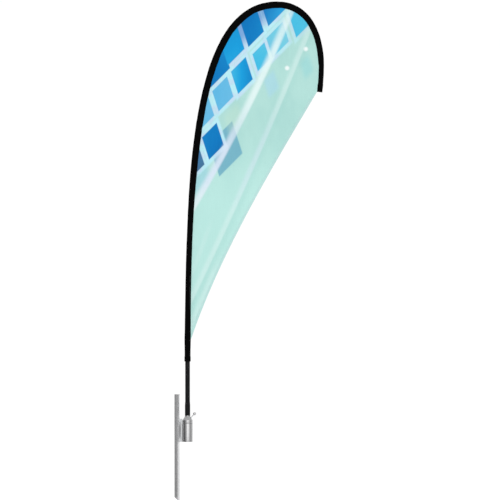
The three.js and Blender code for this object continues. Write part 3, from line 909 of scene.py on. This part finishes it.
def threadTree():
    # screw thread crests, one ring a turn
    tree, ins, outs = newTree("threadCrests", [
        ("Pitch", "value", 0.001), ("Crest Radius", "value", 0.00275), ("Crest Width", "value", 0.00028)])
    points = spacedPoints(tree, ins, "Pitch")
    crest = nodeIn(tree, "GeometryNodeCurveToMesh")
    for size, sides, end in (("Crest Radius", 28, "Curve"), ("Crest Width", 6, "Profile Curve")):
        ring = nodeIn(tree, "GeometryNodeCurvePrimitiveCircle")
        ring.inputs["Resolution"].default_value = sides
        tree.links.new(ins.outputs[size], ring.inputs["Radius"])
        tree.links.new(ring.outputs["Curve"], crest.inputs[end])
    place = standOnPoints(tree, points, crest.outputs["Mesh"], "Z")
    closeTree(tree, ins, outs, place.outputs["Instances"])
    return tree


def sleeveTree():
    # a flattened cloth tube round the pole, pinched to a seam on the cloth's side
    tree, ins, outs = newTree("poleSleeve", [
        ("Sides", "count", 40), ("Pucker Height", "value", 0.0006), ("Pucker Scale", "value", 34.0)])
    link = tree.links.new
    calc = partial(mathNode, tree)
    curve = nodeIn(tree, "GeometryNodeMeshToCurve")
    keep = nodeIn(tree, "GeometryNodeCaptureAttribute")
    section = nodeIn(tree, "GeometryNodeCurvePrimitiveCircle")
    sweep = nodeIn(tree, "GeometryNodeCurveToMesh")
    link(ins.outputs["Geometry"], curve.inputs[0])
    link(curve.outputs[0], keep.inputs["Geometry"])
    for slot, label, source in ((1, "centre", "Position"), (2, "heading", "Tangent")):
        keep.capture_items.new("VECTOR", label)
        link(nodeIn(tree, "GeometryNodeInput" + source).outputs[0], keep.inputs[slot])
    link(ins.outputs["Sides"], section.inputs["Resolution"])
    section.inputs["Radius"].default_value = 1.0
    link(keep.outputs["Geometry"], sweep.inputs["Curve"])
    link(section.outputs["Curve"], sweep.inputs["Profile Curve"])

    def vectorMath(operation, first, second=None, scale=None):
        node = nodeIn(tree, "ShaderNodeVectorMath", operation=operation)
        link(first, node.inputs[0])
        if isinstance(second, tuple):
            node.inputs[1].default_value = second
        elif second is not None:
            link(second, node.inputs[1])
        if scale is not None:
            link(scale, node.inputs["Scale"])
        return node.outputs["Value"] if operation == "DOT_PRODUCT" else node.outputs["Vector"]

    def named(label):
        node = nodeIn(tree, "GeometryNodeInputNamedAttribute", data_type="FLOAT")
        node.inputs["Name"].default_value = label
        return node.outputs["Attribute"]

    centre, along = keep.outputs[1], keep.outputs[2]
    spoke = vectorMath("SUBTRACT", nodeIn(tree, "GeometryNodeInputPosition").outputs[0], centre)
    sideways = nodeIn(tree, "ShaderNodeCombineXYZ")
    sideways.inputs["Y"].default_value = 1.0
    inward = vectorMath("NORMALIZE", vectorMath("CROSS_PRODUCT", sideways.outputs[0], along))
    side, depth = vectorMath("DOT_PRODUCT", spoke, inward), vectorMath("DOT_PRODUCT", spoke, (0.0, 1.0, 0.0))
    pinch = easeNode(tree, side, sleevePinch["from"], 1.0)
    flat = calc("MULTIPLY_ADD", pinch, -sleevePinch["flattened"], 1.0)
    reach = calc("MULTIPLY_ADD", side, named("halfWidth"), calc("MULTIPLY", pinch, named("seamWidth")))
    thick = calc("MULTIPLY", calc("MULTIPLY", depth, named("halfDepth")), flat)
    rumple = nodeIn(tree, "ShaderNodeTexNoise")
    skew = vectorMath("SCALE", spoke, scale=calc("MULTIPLY", named("halfDepth"), 2.2))
    link(vectorMath("ADD", centre, skew), rumple.inputs["Vector"])
    link(ins.outputs["Pucker Scale"], rumple.inputs["Scale"])
    pucker = calc("MULTIPLY", calc("SUBTRACT", rumple.outputs[0], 0.5), ins.outputs["Pucker Height"])
    pucker = calc("MULTIPLY", pucker, calc("MULTIPLY", named("rumple"), 2.0))
    moved = centre
    for heading, amount in ((inward, reach), (sideways.outputs[0], thick), (spoke, pucker)):
        moved = vectorMath("ADD", moved, vectorMath("SCALE", heading, scale=amount))
    shaped = nodeIn(tree, "GeometryNodeSetPosition")
    link(sweep.outputs["Mesh"], shaped.inputs["Geometry"])
    link(moved, shaped.inputs["Position"])
    closeTree(tree, ins, outs, shaped.outputs["Geometry"])
    return tree


sleevePinch = {"from": 0.25, "flattened": 0.72}  # where the tube narrows to its seam, and how much

runningStitch = humpTree("runningStitch", [
    ("Spacing", "value", 0.0042), ("Stitch Length", "value", 0.0032), ("Thread Radius", "value", 0.0004)],
    6, 4, 0.5, 0.86)
weldRipples = humpTree("weldBead", [
    ("Pitch", "value", 0.0016), ("Ripple", "value", 0.0014), ("Bead Radius", "value", 0.0026)],
    14, 8, 1.0, 0.84)
screwThread = threadTree()
poleSleeve = sleeveTree()
print("node trees ready")


# sleeve
sleeveShape = {
    "step": 0.006, "sides": 40,
    "halfWidth": [(0.40, 0.0154), (0.48, 0.0156), (0.545, 0.0166), (0.60, 0.0154), (0.75, 0.0145),
                  (1.10, 0.0146), (1.50, 0.0172), (2.30, 0.0174), (2.60, 0.0162), (2.90, 0.0152),
                  (3.02, 0.0132)],
    "halfDepth": [(0.40, 0.0150), (0.86, 0.0146), (0.96, 0.0126), (1.48, 0.0126), (1.58, 0.0107),
                  (2.04, 0.0104), (2.14, 0.0082), (3.0, 0.0078)],
    "seamWidth": [(0.40, 0.0), (0.52, 0.0005), (0.62, 0.0016), (1.5, 0.0016), (2.3, 0.0018), (2.6, 0.0026),
                  (3.0, 0.0012)],
    "rumple": [(0.40, 0.4), (0.8, 0.5), (1.6, 0.8), (2.0, 1.2), (2.8, 1.3), (3.0, 0.8)],
    "puckerHeight": 0.0011, "puckerScale": 30.0,
    "shutLength": 0.016, "shutShare": 0.80,  # the upper end is sewn nearly flat
    # how far along the pole it runs, how far it stands off, thickness
    "cloth": (0.426, poleLength - 0.003, 0.0, 0.0007),
    "cuff": (0.426, 0.452, 0.0011, 0.0009),
    "endPatch": (poleLength - 0.046, poleLength - 0.002, 0.0009, 0.0008),
}


def sleeveValue(label, distance):
    return followTable(sleeveShape[label], distance)


def faceAway(piece, distance):
    # turns a swept cloth tube's faces away from the pole
    mesh, centre = piece.data, polePoint(distance)
    nearest = min(mesh.polygons, key=lambda face: (Vector(face.center) - centre).length)
    if (Vector(nearest.center) - centre).dot(nearest.normal) < 0:
        mesh.flip_normals()


def sewRound(name, part, shut, lookAt):
    # a length of cloth round the pole
    start, end, proud, thickness = sleeveShape[part]
    count = round((end - start) / sleeveShape["step"])
    distances = [start + (end - start) * i / count for i in range(count + 1)]
    numbers = {label: [sleeveValue(label, distance) for distance in distances]
               for label in ("halfWidth", "halfDepth", "seamWidth", "rumple")}
    numbers["halfWidth"] = [value + proud for value in numbers["halfWidth"]]
    numbers["halfDepth"] = [value + proud for value in numbers["halfDepth"]]
    if shut:
        shutFrom = poleLength - sleeveShape["shutLength"]
        numbers["halfDepth"] = [
            value * (1 - sleeveShape["shutShare"] * easeBetween(distance, shutFrom, poleLength))
            for value, distance in zip(numbers["halfDepth"], distances)]
    piece = growPiece(name, poleSleeve, [[polePoint(distance) for distance in distances]], {
        "Pucker Height": sleeveShape["puckerHeight"], "Pucker Scale": sleeveShape["puckerScale"],
        "Material": sleeveCloth, "Sides": sleeveShape["sides"]}, numbers)
    faceAway(piece, lookAt)
    applyModifier(piece, "SOLIDIFY", thickness=thickness, offset=-1.0)
    smoothPiece(piece, 60)
    return piece


flagSleeve = sewRound("flagSleeve", "cloth", True, 0.5)
cuff = sewRound("sleeveCuff", "cuff", False, 0.44)
endPatch = sewRound("sleeveEndPatch", "endPatch", True, poleLength - 0.03)
print("sleeve made")


# printed cloth and hem
clothCut = {
    "edge": ((0.6845, 1.8530), (0.4460, 1.4500), (0.1727, 1.0000), (0.0195, 0.5470)),
    "lowest": 0.547, "tipGap": 0.006,  # where the cloth starts and stops on the sleeve
    "tuck": 0.0016,  # how far it goes under the sleeve's seam
    "rows": 300, "columns": 84, "fineSteps": 800,
    "billow": 0.0060, "tension": 0.0011, "seamPucker": 0.0006,
    "pullFrom": (0.02, 0.50), "pullFolds": 37, "pullFade": 2.2, "pullSway": (1.6, 4.3), "pullGrow": 6,
    "ridgeLean": (0.915, -0.4035), "ridgeCount": 62, "ridgeSway": 1.7,
    "seamWave": (16, 2.1 / 0.019), "hemWave": (18, 1.5 / 0.027, 0.7),  # how fast it fades, folds, share
    "thickness": 0.0005,
    "hemWidth": 0.012, "hemThickness": 0.0012,
}


def evenly(pointAt, count):
    # points at even distances along a curve given by a function of 0 to 1
    steps = clothCut["fineSteps"]
    fine = [pointAt(i / steps) for i in range(steps + 1)]
    sums = runningLength(fine)
    points, k = [], 0
    for i in range(count + 1):
        wanted = sums[-1] * i / count
        while k < steps - 1 and sums[k + 1] < wanted:
            k += 1
        share = (wanted - sums[k]) / max(sums[k + 1] - sums[k], 1e-9)
        points.append(fine[k].lerp(fine[k + 1], share))
    return points


def sewnPoint(share):
    distance = clothCut["lowest"] + (poleLength - clothCut["tipGap"] - clothCut["lowest"]) * share
    inset = sleeveValue("halfWidth", distance) + sleeveValue("seamWidth", distance) - clothCut["tuck"]
    return polePoint(distance) + poleInward(distance) * inset


def clothWave(point, fromSleeve, along):
    # depth of the cloth at a point: a slack belly, pulls from the low corner and puckers at the seam
    belly = math.sin(math.pi * min(fromSleeve, 1.0)) * math.sin(math.pi * min(max(along, 0), 1)) ** 1.2
    lowX, lowZ = clothCut["pullFrom"]
    reach = (point - Vector((lowX, 0, lowZ))).length
    fan = math.atan2(point.x - lowX, point.z - lowZ)
    sway, swayFolds = clothCut["pullSway"]
    pull = math.sin(fan * clothCut["pullFolds"] + sway * math.sin(reach * swayFolds))
    pull *= math.exp(-reach * clothCut["pullFade"]) * min(reach * clothCut["pullGrow"], 1)
    lean = point.x * clothCut["ridgeLean"][0] + point.z * clothCut["ridgeLean"][1]
    drift = noise.noise(Vector((point.x * 2, 0, point.z * 1.2)))
    ridges = math.sin(lean * clothCut["ridgeCount"] + clothCut["ridgeSway"] * drift)
    ridges *= (0.25 + 0.75 * abs(noise.noise(point * 3.1))) * math.sin(math.pi * fromSleeve)
    fade, folds = clothCut["seamWave"]
    seam = math.exp(-fromSleeve * fade) * math.sin(along * folds + 2 * noise.noise(point * 9))
    fade, folds, share = clothCut["hemWave"]
    hem = math.exp(-(1 - fromSleeve) * fade) * math.sin(along * folds + 1.0)
    return (clothCut["billow"] * belly + clothCut["tension"] * (0.9 * pull + ridges)
            + clothCut["seamPucker"] * (seam + share * hem))


def buildCloth():
    rows, columns = clothCut["rows"], clothCut["columns"]
    sewn = evenly(sewnPoint, rows)
    free = evenly(lambda t: bezierPoint(clothCut["edge"], 1 - t), rows)
    points = []
    for i in range(rows + 1):
        for j in range(columns + 1):
            share = j / columns
            point = sewn[i].lerp(free[i], share)
            point.y = clothWave(point, share, i / rows)
            points.append(point)
    piece = addPiece(plainMesh("flagCloth", points, gridFaces(rows, columns)), flagCloth)
    flatArea = sum(face.area for face in piece.data.polygons)
    applyModifier(piece, "SOLIDIFY", thickness=clothCut["thickness"], offset=0.0)
    smoothPiece(piece, 60)
    return piece, flatArea, points[columns::columns + 1]


def outOfCloth(i):
    # the way out of the cloth at one of the free edge's points
    before, after = freeLine[max(i - 1, 0)], freeLine[min(i + 1, len(freeLine) - 1)]
    return across.cross((after - before).normalized()).normalized()


def buildHem():
    # a folded strip round the free edge, its fold rounded on the outside
    width, half = clothCut["hemWidth"], clothCut["hemThickness"] / 2
    upper = [(-width, half * 0.8), (-width * 0.6, half), (-0.0006, half), (0.0003, half * 0.6)]
    section = upper + [(0.0005, 0.0)] + [(out, -depth) for out, depth in reversed(upper)]
    points = []
    for i, point in enumerate(freeLine):
        taper = min(1.0, 0.10 + i / 9, 0.10 + (len(freeLine) - 1 - i) / 7)
        for out, depth in section:
            points.append(point + outOfCloth(i) * (out * taper if out < 0 else out) + across * depth)
    piece = addPiece(closedMesh("edgeHem", points, loftFaces(len(freeLine), len(section))), hemCloth)
    smoothPiece(piece, 50)
    return piece


flagPanel, clothArea, freeLine = buildCloth()
edgeHem = buildHem()
print("cloth made", round(clothArea, 4), "square metres")


# stitches
stitchLook = {
    # spacing, length, thread, seed
    "hem": (0.0046, 0.0036, 0.00042, 3), "seam": (0.0046, 0.0036, 0.000504, 8),
    "cuff": (0.0042, 0.0032, 0.00045, 12),
    "hemInset": (0.0096, 0.0026), "hemEnds": 6, "proud": 0.0001,
    "seamInset": 0.0022, "seamFrom": 0.60, "seamGap": 0.06, "seamCount": 420, "seamDepth": 0.14,
    # rings round the sleeve: place and how far they stand off
    "rings": [(0.4305, 0.0013), (0.4475, 0.0013), (poleLength - 0.042, 0.0011), (poleLength - 0.036, 0.0011)],
}


def besideEdge(inset, depth):
    ends = stitchLook["hemEnds"]
    return [freeLine[i] - outOfCloth(i) * inset + across * depth for i in range(ends, len(freeLine) - ends)]


def besideSeam(inset, side):
    line = []
    start, end, count = stitchLook["seamFrom"], poleLength - stitchLook["seamGap"], stitchLook["seamCount"]
    for i in range(count + 1):
        distance = start + (end - start) * i / count
        reach = sleeveValue("halfWidth", distance) + sleeveValue("seamWidth", distance) - inset
        depth = sleeveValue("halfDepth", distance) * stitchLook["seamDepth"]
        line.append(polePoint(distance) + poleInward(distance) * reach + across * side * depth)
    return line


def roundSleeve(distance, proud):
    ring = []
    for i in range(61):
        turn = 2 * math.pi * i / 60
        inward, depth = math.cos(turn), math.sin(turn)
        pinch = easeBetween(inward, sleevePinch["from"], 1.0)
        reach = inward * (sleeveValue("halfWidth", distance) + proud)
        reach += pinch * sleeveValue("seamWidth", distance)
        thick = depth * (sleeveValue("halfDepth", distance) + proud) * (1 - sleevePinch["flattened"] * pinch)
        ring.append(polePoint(distance) + poleInward(distance) * reach + across * thick)
    return ring


def sew(name, look, lines, thread):
    spacing, length, radius, seed = stitchLook[look]
    return growPiece(name, runningStitch, lines, {
        "Spacing": spacing, "Stitch Length": length, "Thread Radius": radius, "Seed": seed,
        "Material": thread})


hemStitches = sew("hemStitches", "hem", [
    besideEdge(inset, side * (clothCut["hemThickness"] / 2 + stitchLook["proud"]))
    for inset in stitchLook["hemInset"] for side in (-1, 1)], paleThread)
seamStitches = sew("seamStitches", "seam", [
    besideSeam(stitchLook["seamInset"], side) for side in (-1, 1)], blackThread)
cuffStitches = sew("cuffStitches", "cuff", [roundSleeve(*ring) for ring in stitchLook["rings"]], blackThread)
print("stitches sewn")


# pole
poleShape = {
    "foot": 0.1393, "baseOuter": 0.0125, "baseInner": 0.0107, "baseTop": 0.880,
    "collarRadius": 0.0140, "collarTop": 0.211, "collarTaper": 0.016,
    "collarEdge": 0.0008, "fit": 0.0001, "groove": (0.0112, 0.0006, 0.0006, 0.0004),
}


def turnedPiece(name, profile, material, sides=96, place=None, sharpDegrees=30):
    piece = addPiece(turnedMesh(name, profile, sides, place), material)
    smoothPiece(piece, sharpDegrees)
    return piece


def groove(radius, middle, half, slope, depth):
    # a shallow groove on a round side: half its floor, and how far its sides slope
    return [(radius, middle - half - slope), (radius - depth, middle - half),
            (radius - depth, middle + half), (radius, middle + half + slope)]


def buildPole():
    foot, top, radius = poleShape["foot"], poleShape["collarTop"], poleShape["collarRadius"]
    edge, taper, outer = poleShape["collarEdge"], poleShape["collarTaper"], poleShape["baseOuter"]
    inner = outer + poleShape["fit"]
    tubeMesh = sweptTube("poleBaseTube", foot, poleShape["baseTop"], outer, poleShape["baseInner"])
    tube = addPiece(tubeMesh, darkPole)
    smoothPiece(tube)
    profile = [(inner, foot)] + roundedCorner(radius - edge, foot + edge, edge, -90, 0)
    above, *shape = poleShape["groove"]
    profile += groove(radius, foot + above, *shape)
    profile += [(radius, top - taper), (radius - 0.0006, top - taper * 0.6),
                (outer + 0.0004, top - 0.0006), (inner, top)]
    return tube, turnedPiece("poleCollar", profile, blackMoulding, sharpDegrees=35)


baseTube, collar = buildPole()
print("pole made")


# bearing housing
housing = {
    "radius": 0.0270, "height": 0.0980, "bore": 0.0213, "edge": 0.0010, "sides": 128,
    "groove": (0.00675, 0.00025, 0.0003, 0.0003),
    "coverLow": 0.0984, "coverSide": 0.1150, "coverTop": 0.1340, "coverTopRadius": 0.0152,
    "coverBore": 0.0106,
    "shoulder": 0.0016, "slopeDegrees": 57, "counterRadius": 0.0136, "counterFloor": 0.1306,
    "seatLow": 0.1344, "seatTop": 0.1390, "seatRadius": 0.0147, "seatBore": 0.0106, "seatEdge": 0.0006,
}


def buildHousing():
    radius, edge, bore, height, sides = (housing[k] for k in ("radius", "edge", "bore", "height", "sides"))
    profile = [(bore, 0.0)] + roundedCorner(radius - edge, edge, edge, -90, 0)
    profile += groove(radius, *housing["groove"])
    profile += roundedCorner(radius - edge, height - edge, edge, 0, 90) + [(bore, height)]
    tube = turnedPiece("housingTube", profile, turnedSteel, sides)

    low, top, bore, slope = (housing[k] for k in ("coverLow", "coverTop", "coverBore", "slopeDegrees"))
    profile = [(bore, low)] + roundedCorner(radius - edge, low + edge, edge, -90, 0)
    profile += roundedCorner(radius - housing["shoulder"], housing["coverSide"] - housing["shoulder"] / 2,
                             housing["shoulder"], 0, slope)
    profile += roundedCorner(housing["coverTopRadius"] - 0.0008, top - edge, edge, slope, 90)
    profile += [(housing["counterRadius"], top), (housing["counterRadius"], housing["counterFloor"]),
                (bore, housing["counterFloor"])]
    cover = turnedPiece("housingCover", profile, turnedSteel, sides)

    low, top, bore, edge = (housing[k] for k in ("seatLow", "seatTop", "seatBore", "seatEdge"))
    side = housing["seatRadius"] - edge
    profile = [(bore, low)] + roundedCorner(side, low + edge, edge, -90, 0)
    profile += roundedCorner(side, top - edge, edge, 0, 90) + [(bore, top)]
    return tube, cover, turnedPiece("seatRing", profile, turnedSteel)


housingTube, housingCover, seatRing = buildHousing()
print("housing made")


# clamping screw
clamp = {
    "x": 0.020, "z": 0.131, "tilt": 45.0, "rodRadius": 0.00275, "inner": -0.0056, "thread": 0.0002,
    "knobAt": 0.025, "knobRadius": 0.0080, "neck": 0.0036, "knobFromDegrees": -58,
    "holeRadius": 0.0031, "holeDeep": -0.014, "holeHigh": 0.012,
    "threadFrom": 0.001, "threadRun": 0.017, "pitch": 0.001, "crestWidth": 0.00024,
}


def boreThrough(piece, place, radius, low, high):
    # a round hole cut through a piece along the place's own height
    tool = addPiece(turnedMesh("boreTool", [(0, low), (radius, low), (radius, high), (0, high)], 48, place))
    applyModifier(piece, "BOOLEAN", object=tool, solver="EXACT")
    piece.data.name = piece.name
    bpy.data.objects.remove(tool)
    smoothPiece(piece, 30)


def buildScrew(place):
    inner, knobAt, knobRadius = clamp["inner"], clamp["knobAt"], clamp["knobRadius"]
    core, top = clamp["rodRadius"] - clamp["thread"], knobAt - knobRadius * 0.86
    profile = [(0, inner), (core - 0.0003, inner), (core, inner + 0.0004), (core, top), (0, top)]
    rod = turnedPiece("clampScrew", profile, groundSteel, 40, place)
    start = inner + clamp["threadFrom"]
    line = [place @ Vector((0, 0, start + clamp["threadRun"] * i / 20)) for i in range(21)]
    crests = growPiece("clampThread", screwThread, [line], {
        "Pitch": clamp["pitch"], "Crest Radius": core, "Crest Width": clamp["crestWidth"],
        "Material": groundSteel})
    low = knobAt - knobRadius * 0.93
    profile = [(0, low), (clamp["neck"], low)]
    profile += roundedCorner(0, knobAt, knobRadius, clamp["knobFromDegrees"], 90, 40)[:-1]
    profile += [(0, knobAt + knobRadius)]
    return rod, crests, turnedPiece("ballKnob", profile, weldSteel, 56, place, 40)


screwPlace = Matrix.Translation((clamp["x"], 0, clamp["z"]))
screwPlace = screwPlace @ Matrix.Rotation(math.radians(clamp["tilt"]), 4, "Y")
boreThrough(housingCover, screwPlace, clamp["holeRadius"], clamp["holeDeep"], clamp["holeHigh"])
clampRod, clampThread, ballKnob = buildScrew(screwPlace)
print("clamping screw made")


# ground spike and web plate
spike = {
    "leg": 0.020, "thickness": 0.003, "rootRadius": 0.0030, "toeRadius": 0.0011, "ridgeRadius": 0.0005,
    "top": 0.252, "tip": -0.319, "shortEdge": -0.293, "ridge": (-0.052, -0.010), "turn": 30.5,
    "rings": 41, "cutGap": 0.004, "cutEdge": 0.0005,
}


def angleSection():
    leg, thick = spike["leg"], spike["thickness"]
    root, toe, ridge = spike["rootRadius"], spike["toeRadius"], spike["ridgeRadius"]
    outline = roundedCorner(ridge, ridge, ridge, 270, 180, 3) + [(0, leg)]
    outline += roundedCorner(thick - toe, leg - toe, toe, 90, 0)
    outline += roundedCorner(thick + root, thick + root, root, 180, 270)
    outline += roundedCorner(leg - toe, thick - toe, toe, 90, 0) + [(leg, 0)]
    return [Vector(point) for point in outline]


def buildSpike():
    turn = Matrix.Rotation(math.radians(90 - spike["turn"]), 2)
    ridgeX, ridgeY = spike["ridge"]
    flat = [turn @ point for point in angleSection()]
    left, right = min(p.x for p in flat), max(p.x for p in flat)
    tip, top, shortEdge, rings = spike["tip"], spike["top"], spike["shortEdge"], spike["rings"]
    points = []
    for i in range(rings):
        for point in flat:
            if i == 0:  # the slanting cut
                height = tip + (right - point.x) / (right - left) * (shortEdge - tip)
            else:
                height = shortEdge + spike["cutGap"] + (top - shortEdge - spike["cutGap"]) * i / (rings - 1)
            points.append(Vector((point.x + ridgeX, point.y + ridgeY, height)))
    mesh = plainMesh("groundSpike", points, loftFaces(rings, len(flat)))
    work = bmesh.new()
    work.from_mesh(mesh)
    bmesh.ops.recalc_face_normals(work, faces=work.faces)
    ends = [e for e in work.edges if len(e.link_faces) == 2 and e.calc_face_angle() > 0.6
            and any(len(f.verts) > 4 for f in e.link_faces)]
    bmesh.ops.bevel(work, geom=ends, offset=spike["cutEdge"], segments=2, affect="EDGES", clamp_overlap=True)
    work.to_mesh(mesh)
    work.free()
    piece = addPiece(mesh, zincSteel)
    smoothPiece(piece, 30)
    return piece


groundSpike = buildSpike()

web = {
    "height": 0.122, "half": 0.002, "ovalX": -0.0410, "ovalZ": 0.058, "ovalHeight": 0.090, "ovalWidth": 0.009,
    "ovalDepth": 0.0012, "housingSide": -0.02735, "spikeGap": 0.00035, "columns": 46, "rows": 260,
    "pressEase": (-0.0004, 0.0011), "soften": 0.0004, "softenWidth": 0.0006,
    # painted shade for the pressed oval: the grey it turns to and how much of it is mixed in
    "ovalShadeTint": (0.22, 0.22, 0.225, 1), "ovalShadeAmount": 0.85,
}


def spikeSide(y):
    # where the spike's back face is at a depth
    ridgeX, ridgeY = spike["ridge"]
    return ridgeX + (y - ridgeY) * math.tan(math.radians(spike["turn"]))


def buildWeb():
    # plate with a soft-edged oval pressed into both faces
    columns, rows, height = web["columns"], web["rows"], web["height"]
    straight = (web["ovalHeight"] - web["ovalWidth"]) / 2
    points = []
    for side in (-1, 1):
        y = side * web["half"]
        start = spikeSide(y) + web["spikeGap"] / math.cos(math.radians(spike["turn"]))
        for i in range(rows + 1):
            z = height * i / rows
            for j in range(columns + 1):
                x = start + (web["housingSide"] - start) * j / columns
                inside = web["ovalWidth"] / 2 - math.hypot(
                    x - web["ovalX"], max(abs(z - web["ovalZ"]) - straight, 0))
                press = web["ovalDepth"] * easeBetween(inside, *web["pressEase"])
                soften = web["soften"] * (1 - easeBetween(min(z, height - z), 0, web["softenWidth"]))
                points.append(Vector((x, y - side * (press + soften), z)))
    sheet, step = (columns + 1) * (rows + 1), columns + 1
    faces = gridFaces(rows, columns) + gridFaces(rows, columns, sheet)
    rims = [(range(i * step, i * step + columns), 1) for i in (0, rows)]
    rims += [(range(j, rows * step + j, step), step) for j in (0, columns)]
    faces += [(a, a + on, a + on + sheet, a + sheet) for rim, on in rims for a in rim]
    piece = addPiece(closedMesh("webPlate", points, faces), plateSteel)
    smoothPiece(piece, 40)
    return piece


def paintOvalShade(material):
    # painted shade: darkens the plate's colour towards grey inside the pressed oval
    tree = material.node_tree
    calc, ease, mix = nodeTools(tree)
    socket = tree.nodes["Principled BSDF"].inputs["Base Color"]
    split = splitNode(tree, nodeIn(tree, "ShaderNodeTexCoord").outputs["Object"])
    squares = []
    for axis, at, size in (("X", "ovalX", "ovalWidth"), ("Z", "ovalZ", "ovalHeight")):
        gap = calc("MULTIPLY", calc("SUBTRACT", split[axis], web[at]), 2 / web[size])
        squares.append(calc("MULTIPLY", gap, gap))
    # painted shade mask over the pressed oval, full in its middle and fading out past its rim
    mask = ease(calc("ADD", *squares), 0.45, 1.05, web["ovalShadeAmount"], 0.0)
    tree.links.new(mix(mask, socket.links[0].from_socket, web["ovalShadeTint"]), socket)


webPlate = buildWeb()
# paints shade into the pressed oval of the web plate
paintOvalShade(plateSteel)

weldLook = {
    "low": 0.003, "housingHigh": 0.0955, "spikeHigh": 0.119, "housingX": -0.0279, "stand": 0.0009,
    "pitch": 0.0017, "radius": 0.0017, "ripple": 0.0013,
}


def weldLine(x, y, high):
    return [Vector((x, y, weldLook["low"] + (high - weldLook["low"]) * i / 30)) for i in range(31)]


weldLines = []
for side in (-1, 1):
    y = side * (web["half"] + weldLook["stand"])
    weldLines.append(weldLine(weldLook["housingX"], y, weldLook["housingHigh"]))
    weldLines.append(weldLine(spikeSide(y) + weldLook["stand"], y, weldLook["spikeHigh"]))
weldBeads = growPiece("weldBeads", weldRipples, weldLines, {
    "Pitch": weldLook["pitch"], "Bead Radius": weldLook["radius"], "Ripple": weldLook["ripple"], "Seed": 5,
    "Material": weldSteel})
smoothPiece(weldBeads, 60)
print("spike and welds made")


# finishes of the parts that stay as they are
partFinish = [
    (groundSteel, ["bore_circlip", "shaft_circlip", "spindle"] + [
        level + "_bearing_" + part
        for level in ("lower", "upper") for part in ("outer_ring", "inner_ring", "balls")]),
    (turnedSteel, ["base_cap"]), (sealRubber, ["shaft_seal"]), (padBrass, ["clamp_pad"]),
    (wrappedPole, ["pole_mid_tube", "pole_upper_tube", "pole_tip_rod"]),
    (blackMoulding, ["base_ferrule", "mid_ferrule", "upper_ferrule", "tip_cap"]),
]

for finish, nodeNames in partFinish:
    for nodeName in nodeNames:
        part = bpy.data.objects[nodeName]
        if not part.material_slots:
            part.data.materials.append(finish)
        for place in part.material_slots:
            place.material = finish


# each body: its pieces, their material slot and the part each stands for
riding = {
    "flag_pole": [
        (flagPanel, "flag_cloth", "flag_panel"), (edgeHem, "hem_cloth", "edge_hem"),
        (hemStitches, "hem_cloth"),
        (flagSleeve, "sleeve_cloth", "flag_sleeve"), (cuff, "sleeve_cloth", "sleeve_cuff"),
        (endPatch, "sleeve_cloth", "sleeve_end_pocket"), (seamStitches, "sleeve_cloth"),
        (cuffStitches, "sleeve_cloth"), (baseTube, "pole_alloy", "pole_base_tube"),
        (collar, "black_plastic", "pole_collar")],
    "ground_base": [
        (housingTube, "housing_steel", "housing_tube"), (housingCover, "housing_steel", "housing_cover"),
        (groundSpike, "galvanised_steel", "spike_angle"), (webPlate, "web_steel", "web_plate"),
        (weldBeads, "web_steel")],
    "rotor": [(seatRing, "housing_steel", "seat_ring")],
    "clamp_screw": [
        (clampRod, "bearing_steel", "clamp_screw"), (clampThread, "bearing_steel"),
        (ballKnob, "housing_steel", "ball_knob")],
}

for body, pieces in riding.items():
    for piece, slotName, *nodes in pieces:
        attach(piece, body)
        if nodes:
            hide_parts(*nodes)

print("all pieces ride")
